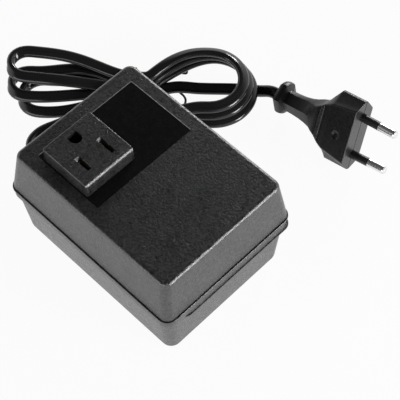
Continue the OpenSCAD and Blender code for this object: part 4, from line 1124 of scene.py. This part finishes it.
class CONVERTER_OT_plug(bpy.types.Operator):
    """Flat two-pin plug body: bevelled head, ribbed shoulder, flared neck, collar, dimples and parting line"""
    bl_idname = "converter.plug"
    bl_label = "Plug body"

    def execute(self, context):
        plug = context.scene.converter_plug
        clear_selection()
        bpy.ops.mesh.primitive_circle_add(vertices=6, radius=1, fill_type="NGON")
        body = begin("plug_moulding")
        half_t = plug.thick / 2 / math.cos(math.pi / 6)
        resize((half_t, plug.width / 2, 1))
        edit(body, lambda p: abs(p.x) > 1 * MM)
        resize((1, plug.flat / plug.width * 2, 1))
        edit(body, lambda p: abs(p.x) > 1 * MM)
        bpy.ops.mesh.bevel(offset=0.8 * MM, segments=3, affect="VERTICES")
        edit(body, lambda p: abs(p.x) < 0.1 * MM)
        bpy.ops.mesh.bevel(offset=1.6 * MM, segments=4, affect="VERTICES")
        edit(body, lambda p: True, "EDGE")
        bpy.ops.mesh.subdivide(number_cuts=1)
        bpy.ops.mesh.select_all(action="SELECT")
        if bmesh.from_edit_mesh(body.data).faces[:][0].normal.z > 0:
            bpy.ops.mesh.flip_normals()
        z = 0.45 * MM
        bpy.ops.transform.translate(value=(0, 0, z))
        for back, half_t, edge, tip in HEAD_SECTIONS:
            lift(-back * MM - z)
            z = -back * MM
            shape_section(body, half_t * MM, edge * MM, tip * MM, z)
        r = plug.collar_d / 2 / MM
        for back, half_w, half_t in NECK_SECTIONS + tuple((back, r - less, r - less) for back, less in COLLAR_SECTIONS):
            lift(-back * MM - z)
            z = -back * MM
            round_section(body, half_w * MM, half_t * MM, z)
        closed(body)
        bpy.ops.object.mode_set(mode="EDIT")
        soften(body, lambda p: p.z > -1e-5, 0.35 * MM, 3)
        bpy.ops.object.mode_set(mode="OBJECT")
        tools = []
        for s in (-1, 1):
            clear_selection()
            bpy.ops.mesh.primitive_uv_sphere_add(segments=40, ring_count=20, radius=DIMPLE_R)
            spot = Vector((s * (plug.thick / 2 + DIMPLE_OUT), *DIMPLE_AT))
            tools.append(settle(context.object, Matrix.Translation(spot)))
        combine(body, gather(tools))
        combine(body, block("parting_line", 0.35 * MM, plug.width + 2 * MM, 0.15 * MM, 1.5 * MM))
        holes = []
        for s in (-1, 1):
            hole = post("pin_hole", 0, 0, -7 * MM, 2 * MM, PIN_HOLE, 32)
            holes.append(settle(hole, placed((0, s * PIN_OFF, 0), s * PIN_LEAN, "X")))
        combine(body, gather(holes))
        lay = Matrix.Translation(PLUG_PLACE * MM) @ PLUG_LAY @ Matrix.Rotation(math.pi / 2, 4, "Y")
        only(body)
        bpy.ops.object.mode_set(mode="EDIT")
        edit(body, lambda p: p.z < -40.1 * MM)
        bpy.ops.transform.translate(value=lay.to_3x3().inverted() @ Vector((0, 0, plug.collar_up)))
        bpy.ops.object.mode_set(mode="OBJECT")
        settle(body, lay)
        bpy.ops.object.mode_set(mode="EDIT")
        edit(body, lambda p: p.z < FLOOR_GAP * MM)
        resize((1, 1, 0), (0, 0, FLOOR_GAP * MM))
        bpy.ops.object.mode_set(mode="OBJECT")
        smooth(body, 32)
        hand_over(body, plug_finish(tuple(plug.colour)), "cord_vinyl", "plug_body")
        return {"FINISHED"}


# Carried-over CAD nodes

class CONVERTER_OT_finishes(bpy.types.Operator):
    """Finishes of the CAD nodes that stay: metal, copper, tape, bobbin, wires and small parts"""
    bl_idname = "converter.finishes"
    bl_label = "Inner finishes"

    def execute(self, context):
        black = grained("inner_moulding", (0.020, 0.020, 0.021), (0.4, 0.55), 1200)
        zinc = grained("zinc_plate", (0.55, 0.56, 0.58), (0.28, 0.42), 1800, 0.000008, 0.1, 1.0)
        nylon = grained("natural_nylon", (0.72, 0.70, 0.63), (0.38, 0.5), 700, 0.00002, 0.06)
        sheets = banded("lamination_edges", (0.10, 0.10, 0.105), (0.30, 0.30, 0.31), "Y", 0.0005, 0.42, 0.85)
        copper = banded("enamelled_turns", (0.30, 0.09, 0.03), (0.62, 0.27, 0.12), "Z", 0.0006, 0.28, 0.9, 0.00008)
        tape = banded("winding_tape_film", (0.66, 0.46, 0.07), (0.74, 0.55, 0.11), "Z", 0.012, 0.3)
        brass = grained("contact_brass", (0.72, 0.50, 0.20), (0.2, 0.34), 1600, 0.000008, 0.12, 1.0)
        nickel = banded("turned_pin_metal", (0.79, 0.79, 0.80), (0.85, 0.85, 0.86), "X", 0.0004, 0.24, 1.0, 0.000002,
                        PLUG_TURN)
        sleeve = grained("sleeve_black", (0.010, 0.010, 0.011), (0.3, 0.42), 1000, 0.00001, 0.2)
        rubber = grained("relief_rubber", (0.0105, 0.0105, 0.0115), (0.42, 0.56), 1300, 0.00003)
        tube = grained("fuse_coat", (0.62, 0.60, 0.54), (0.3, 0.4), 600, 0.00001, 0.08)
        brown, blue, red = (
            grained(f"{name}_wire_skin", colour, (0.3, 0.42), 900, 0.00001, 0.15)
            for name, colour in (
                ("brown", (0.12, 0.045, 0.018)), ("blue", (0.03, 0.10, 0.42)), ("red", (0.42, 0.025, 0.02)),
            )
        )
        for finish, names in (
            (zinc, ("case_screws", "cover_screws", "rail_screws", "clamp_screws", "core_bolts", "core_nuts",
                    "core_washers", "front_rail", "rear_rail", "bobbin_pins")),
            (black, ("contact_cover",)), (rubber, ("cord_inner", "strain_relief")), (nylon, ("cord_clamp", "bobbin")),
            (sheets, ("core_e", "core_i")), (copper, ("winding",)), (tape, ("winding_tape",)),
            (tube, ("thermal_fuse",)), (brass, ("line_contact", "neutral_contact")), (nickel, ("plug_pins",)),
            (sleeve, ("pin_sleeves",)),
            (brown, ("wire_line_in", "wire_fuse")), (blue, ("wire_neutral_in", "wire_neutral_out")),
            (red, ("wire_line_out",)),
        ):
            for name in names:
                part = NODES[name]
                if not part.material_slots:
                    part.data.materials.append(finish)
                for slot in part.material_slots:
                    slot.material = finish
        return {"FINISHED"}


class CONVERTER_OT_declare(bpy.types.Operator):
    bl_idname = "converter.declare"
    bl_label = "Declare lead"

    def execute(self, context):
        lead = bpy.data.objects["flat_lead"]
        on_it = [bpy.data.objects[name] for name in ("plug_moulding", "cord_tie_band")]
        on_it += [NODES[name] for name in ("plug_pins", "pin_sleeves", "strain_relief")]
        del lead["route"]
        return {"FINISHED"}


class CONVERTER_PT_panel(bpy.types.Panel):
    """Pieces of the converter, in the order they are made"""
    bl_idname = "CONVERTER_PT_panel"
    bl_label = "Travel converter"
    bl_space_type = "VIEW_3D"
    bl_region_type = "UI"
    bl_category = "Converter"

    def draw(self, context):
        for cls in CLASSES:
            if issubclass(cls, bpy.types.Operator):
                self.layout.operator(cls.bl_idname)


GROUPS = {
    "converter_case": ConverterCase, "converter_outlet": ConverterOutlet, "converter_cord": ConverterCord,
    "converter_plug": ConverterPlug, "converter_studio": ConverterStudio,
}
CLASSES = (
    *GROUPS.values(), CONVERTER_OT_stage, CONVERTER_OT_lead, CONVERTER_OT_tie, CONVERTER_OT_upper_case,
    CONVERTER_OT_lower_case, CONVERTER_OT_outlet, CONVERTER_OT_film, CONVERTER_OT_plug, CONVERTER_OT_finishes,
    CONVERTER_OT_declare, CONVERTER_PT_panel,
)


def register():
    for cls in CLASSES:
        bpy.utils.register_class(cls)
    for name, group in GROUPS.items():
        setattr(bpy.types.Scene, name, bpy.props.PointerProperty(type=group))


def unregister():
    for name in GROUPS:
        delattr(bpy.types.Scene, name)
    for cls in reversed(CLASSES):
        bpy.utils.unregister_class(cls)


def main():
    register()
    bpy.ops.converter.stage()
    bpy.ops.converter.lead()
    bpy.ops.converter.tie()
    bpy.ops.converter.upper_case()
    bpy.ops.converter.lower_case()
    bpy.ops.converter.outlet()
    bpy.ops.converter.film()
    bpy.ops.converter.plug()
    bpy.ops.converter.finishes()
    bpy.ops.converter.declare()


if __name__ == "__main__":
    main()
